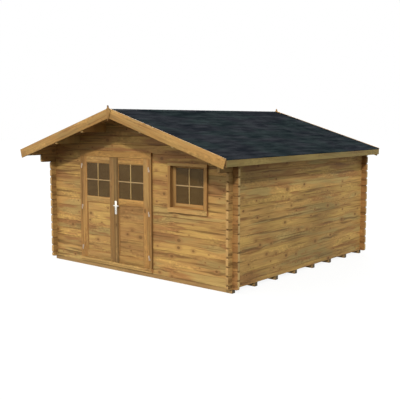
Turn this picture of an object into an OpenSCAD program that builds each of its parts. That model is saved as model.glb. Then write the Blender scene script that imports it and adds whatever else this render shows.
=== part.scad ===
// Garden log cabin with notched log corners, a double door, a window and a low pitched roof.
// Width runs along X, the front faces minus Y, and the origin is under the middle of the cabin.

/* [Plan] */
// Width between the outer faces of the side walls
cabin_w = 4000; // [3600:10:5000]
// Depth between the outer faces of the front and back walls
cabin_d = 4000; // [3000:10:5000]

/* [Base] */
// Width of a floor bearer
bearer_w = 70; // [45:1:120]
// Height of a floor bearer
bearer_h = 60; // [40:1:120]
// Number of floor bearers
bearer_count = 8; // [5:1:10]
// Thickness of the floor boards
floor_t = 18; // [15:1:28]
// Gap between the floor boards and the walls
floor_gap = 0.8; // [0.3:0.1:0.9]

/* [Logs] */
// Thickness of a wall log
log_t = 44; // [34:1:60]
// Height of one course of logs
log_h = 136; // [130:1:145]
// How far the log ends run past the crossing wall
log_end = 100; // [70:1:150]
// Radius on the corners of a log end
end_r = 28; // [8:1:32]
// Bevel along the log edges that makes the V joint
log_bevel = 5; // [3:0.5:9]
// Width of the tongue along the top of a log
tongue_w = 14; // [8:1:16]
// Height of the tongue
tongue_h = 8; // [4:1:12]
// Clearance round the tongue in its groove
tongue_gap = 0.5; // [0.3:0.1:1.5]
// Clearance at the sides of a corner notch
notch_gap = 0.4; // [0.3:0.1:0.9]
// Full courses in a side wall above its starting half log
side_courses = 14; // [14:1:16]
// Reach of the last but one side log past the front wall
bracket_reach = 300; // [200:5:440]

/* [Roof] */
// Pitch of the roof in degrees
roof_pitch = 17; // [14:0.5:24]
// Depth of the roof cut on the outer edge of the side walls
plate_cut = 10; // [4:1:20]
// Overhang of the roof past the front wall
front_over = 520; // [460:5:800]
// Overhang of the roof past the back wall
rear_over = 100; // [60:5:300]
// Overhang of the roof past the side walls
eaves_over = 275; // [200:5:400]
// Thickness of the roof boards
deck_t = 18; // [15:1:28]
// Thickness of the roof covering
cover_t = 8; // [3:0.5:12]
// Width of the ridge capping on each slope
cap_w = 125; // [80:5:200]
// Thickness of the ridge capping
cap_t = 4; // [2:0.5:6]
// Bedding of the ridge capping on the covering
cap_gap = 0.3; // [0.2:0.1:1]
// Width of a purlin
purlin_w = 44; // [34:1:80]
// Height of a side purlin
purlin_h = 136; // [95:1:160]
// Height of the ridge purlin
ridge_purlin_h = 120; // [100:1:200]
// Number of purlins in each slope, evenly spaced between the ridge and the side wall
slope_purlin_count = 2; // [1:1:3]
// Clearance round a purlin in the gable logs
purlin_gap = 0.4; // [0.3:0.1:0.9]
// Height of a barge board
barge_h = 138; // [120:1:180]
// Thickness of a barge board
barge_t = 20; // [15:1:28]
// Rise of the barge board above the roof covering
barge_lip = 3; // [0:1:20]
// Height of the fascia along the eaves
fascia_h = 90; // [70:1:130]
// Thickness of the fascia
fascia_t = 18; // [15:1:28]

/* [Finials] */
// Thickness of a finial
finial_t = 20; // [12:1:28]
// Height of the finial above the barge boards
finial_top = 52; // [30:1:80]
// Depth of the finial below the top of the barge boards
finial_drop = 182; // [165:1:230]
// Half width of the finial at its shoulders
finial_half_w = 72; // [40:1:90]
// Half width of the finial at its upper tip
finial_tip_half_w = 9; // [4:1:12]

/* [Openings in the front wall] */
// Width of the door frame over its casings
door_w = 1688; // [1560:2:1760]
// Share of the wall left over by the door and the window that lies left of the door
left_share = 0.482; // [0.4:0.001:0.5]
// Share of that wall that stands between the door and the window
pier_share = 0.2245; // [0.2:0.0005:0.3]
// Height of the bottom log left under the threshold
sill_h = 19; // [18.5:0.5:40]
// Courses that the doorway is high
door_courses = 14; // [14:1:14]
// Width of the window over its casings
window_w = 780; // [680:1:840]
// Courses below the window
window_base = 8; // [6:1:8]
// Courses that the window is high
window_courses = 5; // [5:1:6]
// Overlap of a casing on the logs
casing_lap = 20; // [14:1:28]
// How far a casing stands proud of the logs
casing_proud = 32; // [24:1:40]
// Room left for the logs to move in the frames
settle_gap = 10; // [6:1:14]
// Clearance between a frame's groove and the logs in it
groove_gap = 0.3; // [0.2:0.1:0.9]

/* [Door frame] */
// Face width of a door post
jamb_w = 48; // [46:1:80]
// Height of the threshold
threshold_h = 66; // [50:1:80]
// Reach of the threshold's nose past the door posts
nose_reach = 14; // [6:1:30]
// Height of the threshold's nose
nose_h = 32; // [20:1:40]
// Fall of the nose towards its front edge
nose_fall = 4; // [2:1:8]
// Height of the door head below the logs over it
head_drop = 74; // [60:1:90]
// Depth of the stop behind the leaves
stop_w = 14; // [8:1:20]
// Gap between a leaf and the stop behind it
stop_gap = 6; // [5:0.5:8]

/* [Door leaves] */
// Thickness of a leaf
leaf_t = 44; // [38:1:46]
// Gap round the leaves
leaf_gap = 5; // [5:0.5:8]
// Gap between the two leaves
meeting_gap = 8; // [7:0.5:12]
// Width of the stile on the hinge side
hinge_stile_w = 116; // [90:1:130]
// Width of the stile where the leaves meet
meeting_stile_w = 98; // [94:1:120]
// Height of the top rail
top_rail_h = 99; // [80:1:120]
// Height of the rail under the glass
lock_rail_h = 90; // [70:1:120]
// Height of the bottom rail
bottom_rail_h = 120; // [90:1:160]
// Height of the glass in the door
door_glass_h = 575; // [450:1:650]
// Thickness of the boarded lower panel
panel_t = 20; // [15:1:26]
// Recess of the panel behind the face of the leaf
panel_recess = 12; // [6:1:16]
// Height of one board in the lower panel
panel_board_h = 136; // [80:1:160]
// Depth and half width of the V joint between those boards
panel_groove = 4; // [2:0.5:6]
// Thickness of all glass
glass_t = 6; // [4:0.5:10]
// Recess of the glass behind the face of its leaf or sash
glass_recess = 6; // [4:1:24]

/* [Door fittings] */
// Width of the cover strip on the meeting stile
strip_w = 92; // [60:1:94]
// Thickness of the cover strip
strip_t = 12; // [8:1:18]
// Bevel along the edges of the cover strip
strip_bevel = 4; // [2:0.5:6]
// Distance of the two grooves in the cover strip from its edges
strip_groove_in = 20; // [14:1:24]
// Depth and half width of those grooves
strip_groove = 3; // [1:0.5:5]
// Height of the handle plate
plate_h = 220; // [180:1:260]
// Width of the handle plate
plate_w = 44; // [36:1:48]
// Thickness of the handle plate
plate_t = 4; // [2:0.5:8]
// Height of the handle plate's middle above the ground
handle_z = 1065; // [980:1:1120]
// Height of the lever above the plate's middle
lever_up = 38; // [0:1:60]
// Radius of the lever's neck
lever_neck_r = 9; // [7:0.5:10]
// Distance of the lever from the plate
lever_reach = 46; // [36:1:60]
// Length of the lever from its neck to its end
lever_l = 112; // [90:1:130]
// Height of the lever bar
lever_h = 18; // [14:1:22]
// Thickness of the lever bar
lever_t = 11; // [8:1:14]
// Running gap between the lever and its plate
lever_gap = 0.3; // [0.2:0.1:0.8]
// Radius of a hinge pin
pin_r = 3; // [2:0.5:3.5]
// Clearance between a hinge pin and its knuckle
pin_gap = 0.3; // [0.2:0.1:0.5]
// Radius of a hinge knuckle
knuckle_r = 7; // [6:0.5:9]
// Height of half a hinge
knuckle_h = 38; // [28:1:50]
// Width of a hinge flap
flap_w = 20; // [14:1:26]
// Thickness of a hinge flap
flap_t = 2.5; // [2:0.5:4]
// Distance of the outer hinges from the ends of a leaf
hinge_inset = 165; // [120:1:220]
// Running gap between the halves of a hinge
hinge_gap = 0.4; // [0.2:0.1:0.8]

/* [Window] */
// Face width of the window casing at its sides
window_jamb_w = 54; // [46:1:74]
// Height of the window head below the logs over it
window_head_drop = 25; // [20:1:34]
// Height of the sill above the logs under it
window_sill_rise = 17; // [12:1:24]
// Drop of the sill's apron on the logs below
window_apron = 54; // [36:1:70]
// Width of the sash's stiles
sash_w = 58; // [50:1:74]
// Height of the sash's top rail
sash_top_h = 20; // [16:1:50]
// Height of the sash's bottom rail
sash_bottom_h = 62; // [50:1:90]
// Thickness of the sash
sash_t = 35; // [28:1:42]
// Recess of the sash behind the face of the casing
sash_recess = 60; // [16:1:64]
// Clearance round the sash
sash_gap = 0.5; // [0.3:0.1:0.9]

/* [Hidden] */

log_color = "burlywood";
trim_color = "peru";
roof_color = "darkslategray";
metal_color = "silver";
glass_color = "lightblue";

// Slack that lets a cutting shape pass clear of the face it cuts
over = 1;
// Steps in the rounding of a log end
corner_steps = 5;
// Sides of the small round fittings
round_fn = 40;
// How hollow the lower sides of a finial are
finial_hollow = 1.3;
// Share of the spike of a finial that its neck takes up
finial_neck_share = 0.25;

half_w = cabin_w / 2;
front_y = -(cabin_d + rear_over - front_over) / 2;
back_y = front_y + cabin_d;
base_z = bearer_h;

slope = tan(roof_pitch);
plate_z = base_z + log_h / 2 + side_courses * log_h - plate_cut;
ridge_z = plate_z + slope * half_w;
gable_courses = ceil((ridge_z - base_z) / log_h);
deck_v = deck_t / cos(roof_pitch);
cover_v = cover_t / cos(roof_pitch);
cap_v = cap_t / cos(roof_pitch);
barge_v = deck_v + cover_v + barge_lip;
eaves_x = half_w + eaves_over;
deck_x = eaves_x - fascia_t;
roof_y0 = front_y - front_over + barge_t;
roof_y1 = back_y + rear_over - barge_t;
ridge_purlin_z = ridge_z - ridge_purlin_h;
purlin_step = (half_w - log_t) / (slope_purlin_count + 1);
purlin_xs = [for (i = [1 : slope_purlin_count]) i * purlin_step];

free_wall = cabin_w - door_w - window_w;

door_x0 = -half_w + left_share * free_wall;
door_x1 = door_x0 + door_w;
door_z0 = base_z + sill_h;
door_z1 = course_z(door_courses);
door_log_x0 = door_x0 + casing_lap;
door_log_x1 = door_x1 - casing_lap;
pass_x0 = door_x0 + jamb_w;
pass_x1 = door_x1 - jamb_w;
head_z = door_z1 - head_drop;
frame_y0 = front_y - casing_proud;
frame_y1 = front_y + log_t + casing_proud;

window_x0 = door_x1 + pier_share * free_wall;
window_x1 = window_x0 + window_w;
window_z0 = course_z(window_base);
window_z1 = course_z(window_base + window_courses);
window_log_x0 = window_x0 + casing_lap;
window_log_x1 = window_x1 - casing_lap;
sash_x0 = window_x0 + window_jamb_w + sash_gap;
sash_x1 = window_x1 - window_jamb_w - sash_gap;
sash_z0 = window_z0 + window_sill_rise + sash_gap;
sash_z1 = window_z1 - window_head_drop - sash_gap;
sash_y = frame_y0 + sash_recess;

threshold_z = door_z0 + threshold_h;
leaf_w = (pass_x1 - pass_x0 - 2 * leaf_gap - meeting_gap) / 2;
leaf_z0 = threshold_z + leaf_gap;
leaf_z1 = head_z - leaf_gap;
leaf_y = frame_y0;
glass_z1 = leaf_z1 - top_rail_h;
glass_z0 = glass_z1 - door_glass_h;
panel_z0 = leaf_z0 + bottom_rail_h;
panel_z1 = glass_z0 - lock_rail_h;
stop_y = leaf_y + leaf_t + stop_gap;
left_axis_x = pass_x0 + leaf_gap / 2;
right_axis_x = pass_x1 - leaf_gap / 2;
axis_y = leaf_y - knuckle_r;
hinge_zs = [leaf_z0 + hinge_inset, (leaf_z0 + leaf_z1) / 2, leaf_z1 - hinge_inset];
strip_x = right_leaf_x() + strip_w / 2;

// Height of the bottom of a front or back course
function course_z(k) = base_z + k * log_h;

// Height of the bottom of a side course, where course 0 is the half log
function side_z(j) = j == 0 ? base_z : base_z + log_h / 2 + (j - 1) * log_h;

// Height of the roof's underside at a distance from the ridge
function roof_under(x) = ridge_z - slope * abs(x);

// Left edge of the right leaf
function right_leaf_x() = pass_x1 - leaf_gap - leaf_w;

// Quarter circle of points, or the bare corner where the radius is nil
function corner(x, z, r, start) = r == 0 ? [[x, z]] : [
    for (i = [0 : corner_steps])
        [x + r * cos(start + 90 * i / corner_steps), z + r * sin(start + 90 * i / corner_steps)]
];

// Side outline of a log with rounded or square ends and a tongue along its top
function log_outline(s0, s1, z0, z1, r0, r1, tongue) = concat(
    corner(s0 + r0, z0 + r0, r0, 180),
    corner(s1 - r1, z0 + r1, r1, 270),
    corner(s1 - r1, z1 - r1, r1, 0),
    tongue ? [
        [s1 - r1 - tongue_h, z1],
        [s1 - r1 - tongue_h, z1 + tongue_h],
        [s0 + r0 + tongue_h, z1 + tongue_h],
        [s0 + r0 + tongue_h, z1]
    ] : [],
    corner(s0 + r0, z1 - r0, r0, 90)
);

// Section of a log: bevelled edges, a tongue on top and a groove below
module log_section(h, tongue, groove) {
    mid = log_t / 2;
    tw = tongue_w / 2;
    gw = tongue_w / 2 + tongue_gap;
    gh = tongue_h + tongue_gap;
    polygon(concat(
        [[log_bevel, 0]],
        groove ? [[mid - gw, 0], [mid - gw, gh], [mid + gw, gh], [mid + gw, 0]] : [],
        [[log_t - log_bevel, 0], [log_t, log_bevel], [log_t, h - log_bevel], [log_t - log_bevel, h]],
        tongue ? [[mid + tw, h], [mid + tw, h + tongue_h], [mid - tw, h + tongue_h], [mid - tw, h]] : [],
        [[log_bevel, h], [0, h - log_bevel], [0, log_bevel]]
    ));
}

// One log along X, from Y = 0 to its thickness. The children are cut out of its side outline.
module log(s0, s1, z0, z1, r0, r1, tongue = true, groove = true) {
    intersection() {
        translate([s0 - over, 0, z0])
            rotate([90, 0, 90])
                linear_extrude(s1 - s0 + 2 * over) log_section(z1 - z0, tongue, groove);
        translate([0, log_t + over, 0])
            rotate([90, 0, 0])
                linear_extrude(log_t + 2 * over)
                    difference() {
                        polygon(log_outline(s0, s1, z0, z1, r0, r1, tongue));
                        children();
                    }
    }
}

// Notch for a crossing log whose near face is at s
module notch(s, z0, z1) {
    translate([s - notch_gap, z0]) square([log_t + 2 * notch_gap, z1 - z0]);
}

// Notches at both corners of a course, a quarter log deep below and above
module corner_notches(s0, s1, z0, z1, below = true) {
    for (s = [s0, s1 - log_t]) {
        if (below)
            notch(s, z0 - over, z0 + log_h / 4);
        notch(s, z1 - log_h / 4, z1 + tongue_h + over);
    }
}

// Side outline of everything above the roof's underside
module above_roof() {
    far = half_w + log_end + over;
    top = ridge_z + log_h;
    polygon([[-far, roof_under(far)], [0, ridge_z], [far, roof_under(far)], [far, top], [-far, top]]);
}

// Slots in a gable for the purlins
module purlin_slots() {
    wide = purlin_w + 2 * purlin_gap;
    translate([-wide / 2, ridge_purlin_z]) square([wide, 2 * log_h]);
    for (x = purlin_xs)
        for (side = [-1, 1])
            translate([side * x - wide / 2, side_purlin_z(x)]) square([wide, 2 * log_h]);
}

// Height of the underside of a side purlin
function side_purlin_z(x) = roof_under(x) - purlin_h;

// One course of a front or back wall from end to end
module gable_wall_log(k) {
    reach = half_w + log_end;
    log(-reach, reach, course_z(k), course_z(k + 1), end_r, end_r, groove = k > 0) {
        corner_notches(-half_w, half_w, course_z(k), course_z(k + 1));
        above_roof();
        purlin_slots();
        children();
    }
}

// One course of a side wall, set on the X axis, with Y of the cabin along it
module side_wall_log(j) {
    z0 = side_z(j);
    last = j == side_courses;
    top = last ? side_z(j) + log_h : side_z(j + 1);
    blank = last ? top + log_t * slope : top;
    reach = last ? front_y - roof_y0 : j == side_courses - 1 ? bracket_reach : log_end;
    back_reach = last ? roof_y1 - back_y : log_end;
    end_radius = last ? 0 : end_r;
    log(front_y - reach, back_y + back_reach, z0, blank, end_radius, end_radius, !last, j > 0)
        corner_notches(front_y, back_y, z0, last ? top : blank, j > 0);
}

// A prism along Y between two places, from an outline across the cabin
module along_y(y0, y1) {
    translate([0, y1, 0]) rotate([90, 0, 0]) linear_extrude(y1 - y0) children();
}

// A prism along X between two places, from an outline in depth and height
module along_x(x0, x1) {
    translate([x0, 0, 0]) rotate([90, 0, 90]) linear_extrude(x1 - x0) children();
}

// A box between two corners
module block(a, b) {
    translate(a) cube(b - a);
}

// Logs of a side wall with courses of one parity, its outer face at x
module side_wall(x, first) {
    color(log_color)
        for (j = [first : 2 : side_courses])
            difference() {
                translate([x, 0, 0]) rotate([0, 0, 90]) side_wall_log(j);
                if (j == side_courses)
                    along_y(roof_y0 - over, roof_y1 + over) above_roof();
            }
}

// Outlines of the openings in the front wall
module front_openings() {
    translate([door_log_x0, door_z0]) square([door_log_x1 - door_log_x0, door_z1 - door_z0]);
    translate([window_log_x0, window_z0])
        square([window_log_x1 - window_log_x0, window_z1 - window_z0]);
}

// One course of the front wall between two places
module front_run(k, s0, s1, r0, r1) {
    translate([0, front_y, 0])
        log(s0, s1, course_z(k), course_z(k + 1), r0, r1) {
            corner_notches(-half_w, half_w, course_z(k), course_z(k + 1));
            front_openings();
        }
}

// Short logs left of the door
module front_left(first) {
    color(log_color)
        for (k = [first : 2 : door_courses - 1])
            front_run(k, -half_w - log_end, door_log_x0, end_r, 0);
}

// Logs right of the door, parted by the window where they meet it
module front_right(first) {
    color(log_color)
        for (k = [first : 2 : door_courses - 1])
            if (k >= window_base && k < window_base + window_courses) {
                front_run(k, door_log_x1, window_log_x0, 0, 0);
                front_run(k, window_log_x1, half_w + log_end, 0, end_r);
            } else {
                front_run(k, door_log_x1, half_w + log_end, 0, end_r);
            }
}

// Logs of the front gable over the door
module front_gable(first) {
    color(log_color)
        for (k = [first : 2 : gable_courses - 1])
            translate([0, front_y, 0]) gable_wall_log(k);
}

// Logs of the back wall and its gable
module back_wall(first) {
    color(log_color)
        for (k = [first : 2 : gable_courses - 1])
            translate([0, back_y - log_t, 0]) gable_wall_log(k);
}

module front_sill_log() {
    color(log_color)
        translate([0, front_y, 0])
            gable_wall_log(0) front_openings();
}

module floor_bearers() {
    pitch = (cabin_d - bearer_w) / (bearer_count - 1);
    color(trim_color)
        for (i = [0 : bearer_count - 1])
            translate([-half_w, front_y + i * pitch, 0]) cube([cabin_w, bearer_w, bearer_h]);
}

module floor_deck() {
    inner = log_t + floor_gap;
    color(log_color)
        block([-half_w + inner, front_y + inner, base_z], [half_w - inner, back_y - inner, base_z + floor_t]);
}

// A purlin with its top cut to the roof
module purlin(x, z) {
    color(log_color)
        along_y(roof_y0, roof_y1)
            difference() {
                translate([x - purlin_w / 2, z]) square([purlin_w, ridge_z - z]);
                above_roof();
            }
}

module ridge_purlin() {
    purlin(0, ridge_purlin_z);
}

// The purlins in one slope, where side is -1 or 1
module slope_purlins(side) {
    for (x = purlin_xs)
        purlin(side * x, side_purlin_z(x));
}

// A layer of the roof slope from the ridge to x, between two heights above its underside
module roof_layer(side, x, low, high) {
    along_y(roof_y0, roof_y1)
        polygon([
            [0, ridge_z + low], [side * x, roof_under(x) + low],
            [side * x, roof_under(x) + high], [0, ridge_z + high]
        ]);
}

module roof_deck(side) {
    color(log_color) roof_layer(side, deck_x, 0, deck_v);
}

module roof_covering(side) {
    color(roof_color) roof_layer(side, eaves_x, deck_v, deck_v + cover_v);
}

module ridge_cap() {
    low = deck_v + cover_v + cap_gap;
    high = low + cap_v;
    x = cap_w * cos(roof_pitch);
    color(roof_color)
        along_y(roof_y0, roof_y1)
            polygon([
                [-x, roof_under(x) + low], [0, ridge_z + low], [x, roof_under(x) + low],
                [x, roof_under(x) + high], [0, ridge_z + high], [-x, roof_under(x) + high]
            ]);
}

// A barge board with a plumb cut at the ridge and a square cut at the eaves
module barge(side, y0) {
    tip_z = roof_under(eaves_x) + barge_v;
    heel = [eaves_x - barge_h * sin(roof_pitch), tip_z - barge_h * cos(roof_pitch)];
    color(trim_color)
        along_y(y0, y0 + barge_t)
            polygon([
                [0, ridge_z + barge_v], [side * eaves_x, tip_z],
                [side * heel[0], heel[1]], [0, ridge_z + barge_v - barge_h / cos(roof_pitch)]
            ]);
}

// A finial: a spike on top, shoulders over the barge boards and hollow sides down to a point
module finial(y0) {
    top_z = ridge_z + barge_v;
    neck_z = top_z + finial_top * finial_neck_share;
    shoulder_z = top_z - finial_half_w;
    sweep_r = finial_half_w - finial_tip_half_w;
    taper = [
        for (i = [0 : corner_steps])
            let (f = i / corner_steps)
                [finial_half_w * pow(1 - f, finial_hollow) + finial_tip_half_w * (1 - f) * f,
                    shoulder_z - (finial_drop - finial_half_w) * f]
    ];
    sweep = [
        for (i = [0 : corner_steps])
            let (a = 90 * i / corner_steps)
                [finial_half_w - sweep_r * sin(a), neck_z - (neck_z - shoulder_z) * cos(a)]
    ];
    right = concat(sweep, [[finial_tip_half_w, top_z + finial_top]]);
    left = [for (i = [len(right) - 1 : -1 : 0]) [-right[i][0], right[i][1]]];
    taper_left = [for (i = [1 : corner_steps - 1]) [-taper[i][0], taper[i][1]]];
    taper_right = [for (i = [corner_steps : -1 : 1]) taper[i]];
    color(trim_color)
        along_y(y0, y0 + finial_t)
            polygon(concat(right, left, taper_left, taper_right));
}

// A fascia under the edge of the roof covering
module fascia(side) {
    top = roof_under(eaves_x) + deck_v;
    color(trim_color)
        along_y(roof_y0, roof_y1)
            polygon([
                [side * deck_x, top - fascia_h], [side * eaves_x, top - fascia_h],
                [side * eaves_x, top], [side * deck_x, roof_under(deck_x) + deck_v]
            ]);
}

// Plan of a post that is grooved over the log ends, from its outer edge to the opening
module grooved_post(outer_x, inner_x) {
    side = inner_x > outer_x ? 1 : -1;
    groove_x = outer_x + side * (casing_lap + settle_gap);
    difference() {
        polygon([[outer_x, frame_y0], [inner_x, frame_y0], [inner_x, frame_y1], [outer_x, frame_y1]]);
        polygon([
            [outer_x - side * over, front_y - groove_gap], [groove_x, front_y - groove_gap],
            [groove_x, front_y + log_t + groove_gap], [outer_x - side * over, front_y + log_t + groove_gap]
        ]);
    }
}

// A door post with the stop that the leaf closes in front of
module door_jamb(outer_x, inner_x) {
    side = inner_x > outer_x ? 1 : -1;
    color(trim_color)
        translate([0, 0, threshold_z])
            linear_extrude(head_z - threshold_z) {
                grooved_post(outer_x, inner_x);
                polygon([
                    [inner_x - side * stop_w, stop_y], [inner_x + side * stop_w, stop_y],
                    [inner_x + side * stop_w, frame_y1], [inner_x - side * stop_w, frame_y1]
                ]);
            }
}

// Section in depth and height of a head grooved over the logs above it
module head_section(low_z, log_z) {
    difference() {
        translate([frame_y0, low_z]) square([frame_y1 - frame_y0, log_z + casing_lap - low_z]);
        translate([front_y - groove_gap, log_z - settle_gap])
            square([log_t + 2 * groove_gap, settle_gap + casing_lap + over]);
    }
}

// Space of the logs beside an opening, from a frame's end to the log ends in its groove
module log_space(x0, x1, z0, z1) {
    block([x0, front_y - groove_gap, z0], [x1, front_y + log_t + groove_gap, z1]);
}

module door_head() {
    color(trim_color) {
        difference() {
            along_x(door_x0, door_x1) head_section(head_z, door_z1);
            log_space(door_x0 - over, door_log_x0 + settle_gap, head_z - over, door_z1);
            log_space(door_log_x1 - settle_gap, door_x1 + over, head_z - over, door_z1);
        }
        block([pass_x0 + stop_w, stop_y, head_z - stop_w], [pass_x1 - stop_w, frame_y1, head_z]);
    }
}

// Threshold under the posts, with a sloping nose in front and a stop behind the leaves
module door_threshold() {
    nose_y = frame_y0 - nose_reach;
    color(trim_color) {
        difference() {
            along_x(door_x0, door_x1)
                polygon([
                    [frame_y0, door_z0], [frame_y1, door_z0], [frame_y1, threshold_z], [frame_y0, threshold_z],
                    [nose_y, threshold_z - nose_fall], [nose_y, threshold_z - nose_h],
                    [frame_y0, threshold_z - nose_h]
                ]);
            log_space(door_x0 - over, door_log_x0 + settle_gap, door_z0 - over, threshold_z + over);
            log_space(door_log_x1 - settle_gap, door_x1 + over, door_z0 - over, threshold_z + over);
        }
        block([pass_x0 + stop_w, stop_y, threshold_z], [pass_x1 - stop_w, frame_y1, threshold_z + stop_w]);
    }
}

// Stiles of a leaf whose hinge edge is at x, where side is 1 if the leaf lies right of it
module leaf_stiles(x, side) {
    color(trim_color) {
        leaf_slab(x, side, 0, hinge_stile_w, leaf_z0, leaf_z1);
        leaf_slab(x, side, leaf_w - meeting_stile_w, leaf_w, leaf_z0, leaf_z1);
    }
}

// Part of a leaf between two distances from its hinge edge, at the full thickness or set back
module leaf_slab(x, side, from, to, z0, z1, recess = 0, thick = leaf_t) {
    x0 = min(x + side * from, x + side * to);
    x1 = max(x + side * from, x + side * to);
    block([x0, leaf_y + recess, z0], [x1, leaf_y + recess + thick, z1]);
}

module leaf_rails(x, side) {
    color(trim_color)
        for (z = [[leaf_z0, panel_z0], [panel_z1, glass_z0], [glass_z1, leaf_z1]])
            leaf_slab(x, side, hinge_stile_w, leaf_w - meeting_stile_w, z[0], z[1]);
}

// Lower panel of level boards with V joints on the outer face
module leaf_panel(x, side) {
    x0 = min(x + side * hinge_stile_w, x + side * (leaf_w - meeting_stile_w));
    x1 = x0 + leaf_w - hinge_stile_w - meeting_stile_w;
    y = leaf_y + panel_recess;
    boards = max(1, floor((panel_z1 - panel_z0) / panel_board_h));
    board = (panel_z1 - panel_z0) / boards;
    color(log_color)
        along_x(x0, x1)
            difference() {
                translate([y, panel_z0]) square([panel_t, panel_z1 - panel_z0]);
                for (i = [1 : 1 : boards - 1])
                    translate([y, panel_z0 + i * board])
                        polygon([[-over, -panel_groove - over], [panel_groove, 0], [-over, panel_groove + over]]);
            }
}

module leaf_glass(x, side) {
    color(glass_color, 0.5)
        leaf_slab(x, side, hinge_stile_w, leaf_w - meeting_stile_w, glass_z0, glass_z1, glass_recess, glass_t);
}

// Half a hinge: a knuckle on the axis and a flap on the face at one side of it
module hinge_half(x, z, side) {
    x0 = side > 0 ? x : x - flap_w;
    translate([x, axis_y, z]) cylinder(r = knuckle_r, h = knuckle_h, $fn = round_fn);
    translate([x0, leaf_y - flap_t, z]) cube([flap_w, flap_t, knuckle_h]);
}

// Upper hinge halves on a leaf, bored for the pins
module leaf_hinges(x, side) {
    color(metal_color)
        for (z = hinge_zs)
            difference() {
                hinge_half(x, z + hinge_gap / 2, side);
                translate([x, axis_y, z])
                    cylinder(r = pin_r + pin_gap, h = knuckle_h + over, $fn = round_fn);
            }
}

// Lower hinge half on a door post, with the pin that the upper half drops over
module post_hinge(x, z, side) {
    foot = z - knuckle_h - hinge_gap / 2;
    hinge_half(x, foot, side);
    translate([x, axis_y, foot]) cylinder(r = pin_r, h = 2 * knuckle_h + hinge_gap, $fn = round_fn);
}

module door_frame_hinges() {
    color(metal_color)
        for (z = hinge_zs) {
            post_hinge(left_axis_x, z, -1);
            post_hinge(right_axis_x, z, 1);
        }
}

// Moulded strip with bevelled edges and two grooves down its face
module door_cover_strip() {
    face = -strip_t;
    color(trim_color)
        translate([right_leaf_x(), leaf_y, leaf_z0])
            linear_extrude(leaf_z1 - leaf_z0)
                difference() {
                    polygon([
                        [0, 0], [0, face + strip_bevel], [strip_bevel, face],
                        [strip_w - strip_bevel, face], [strip_w, face + strip_bevel], [strip_w, 0]
                    ]);
                    for (x = [strip_groove_in, strip_w - strip_groove_in])
                        translate([x, face]) rotate(45) square(sqrt(2) * strip_groove, center = true);
                }
}

// Long plate with round ends
module door_handle_plate() {
    y = leaf_y - strip_t;
    r = plate_w / 2;
    color(metal_color)
        along_y(y - plate_t, y)
            translate([strip_x, handle_z]) {
                square([plate_w, plate_h - plate_w], center = true);
                for (s = [-1, 1])
                    translate([0, s * (plate_h / 2 - r)]) circle(r = r, $fn = round_fn);
            }
}

// Neck out of the plate and a level bar with a round end
module door_lever() {
    y = leaf_y - strip_t - plate_t - lever_gap;
    z = handle_z + lever_up;
    color(metal_color) {
        translate([strip_x, y, z])
            rotate([90, 0, 0]) cylinder(r = lever_neck_r, h = lever_reach, $fn = round_fn);
        along_y(y - lever_reach, y - lever_reach + lever_t)
            translate([strip_x, z]) {
                translate([0, -lever_h / 2]) square([lever_l - lever_h / 2, lever_h]);
                translate([lever_l - lever_h / 2, 0]) circle(d = lever_h, $fn = round_fn);
            }
    }
}

module window_jambs() {
    color(trim_color)
        translate([0, 0, window_z0 + window_sill_rise])
            linear_extrude(window_z1 - window_head_drop - window_z0 - window_sill_rise) {
                grooved_post(window_x0, window_x0 + window_jamb_w);
                grooved_post(window_x1, window_x1 - window_jamb_w);
            }
}

module window_head() {
    low = window_z1 - window_head_drop;
    color(trim_color)
        difference() {
            along_x(window_x0, window_x1) head_section(low, window_z1);
            log_space(window_x0 - over, window_log_x0 + settle_gap, low - over, window_z1);
            log_space(window_log_x1 - settle_gap, window_x1 + over, low - over, window_z1);
        }
}

// Sill that sits over the logs below, with an apron on each face
module window_sill() {
    top = window_z0 + window_sill_rise;
    color(trim_color)
        difference() {
            along_x(window_x0, window_x1)
                difference() {
                    translate([frame_y0, window_z0 - window_apron])
                        square([frame_y1 - frame_y0, top - window_z0 + window_apron]);
                    translate([front_y - groove_gap, window_z0 - window_apron - over])
                        square([log_t + 2 * groove_gap, window_apron + over]);
                }
            log_space(window_x0 - over, window_log_x0 + settle_gap, window_z0, top + over);
            log_space(window_log_x1 - settle_gap, window_x1 + over, window_z0, top + over);
        }
}

module window_sash() {
    color(trim_color)
        difference() {
            block([sash_x0, sash_y, sash_z0], [sash_x1, sash_y + sash_t, sash_z1]);
            block([sash_x0 + sash_w, sash_y - over, sash_z0 + sash_bottom_h],
                [sash_x1 - sash_w, sash_y + sash_t + over, sash_z1 - sash_top_h]);
        }
}

module window_glass() {
    y = sash_y + glass_recess;
    color(glass_color, 0.5)
        block([sash_x0 + sash_w, y, sash_z0 + sash_bottom_h], [sash_x1 - sash_w, y + glass_t, sash_z1 - sash_top_h]);
}

left_leaf_edge = pass_x0 + leaf_gap;
right_leaf_edge = pass_x1 - leaf_gap;

floor_bearers();
floor_deck();
side_wall(-half_w + log_t, 1);  // left_wall_odd_logs
side_wall(-half_w + log_t, 0);  // left_wall_even_logs
side_wall(half_w, 1);  // right_wall_odd_logs
side_wall(half_w, 0);  // right_wall_even_logs
back_wall(1);  // back_wall_odd_logs
back_wall(0);  // back_wall_even_logs
front_sill_log();
front_left(1);  // front_left_odd_logs
front_left(2);  // front_left_even_logs
front_right(1);  // front_right_odd_logs
front_right(2);  // front_right_even_logs
front_gable(door_courses + 1);  // front_gable_odd_logs
front_gable(door_courses);  // front_gable_even_logs
ridge_purlin();
slope_purlins(-1);  // left_purlins
slope_purlins(1);  // right_purlins
roof_deck(-1);  // left_roof_deck
roof_deck(1);  // right_roof_deck
roof_covering(-1);  // left_roof_covering
roof_covering(1);  // right_roof_covering
ridge_cap();
barge(-1, front_y - front_over);  // front_left_barge
barge(1, front_y - front_over);  // front_right_barge
barge(-1, roof_y1);  // rear_left_barge
barge(1, roof_y1);  // rear_right_barge
finial(front_y - front_over - finial_t);  // front_finial
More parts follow.
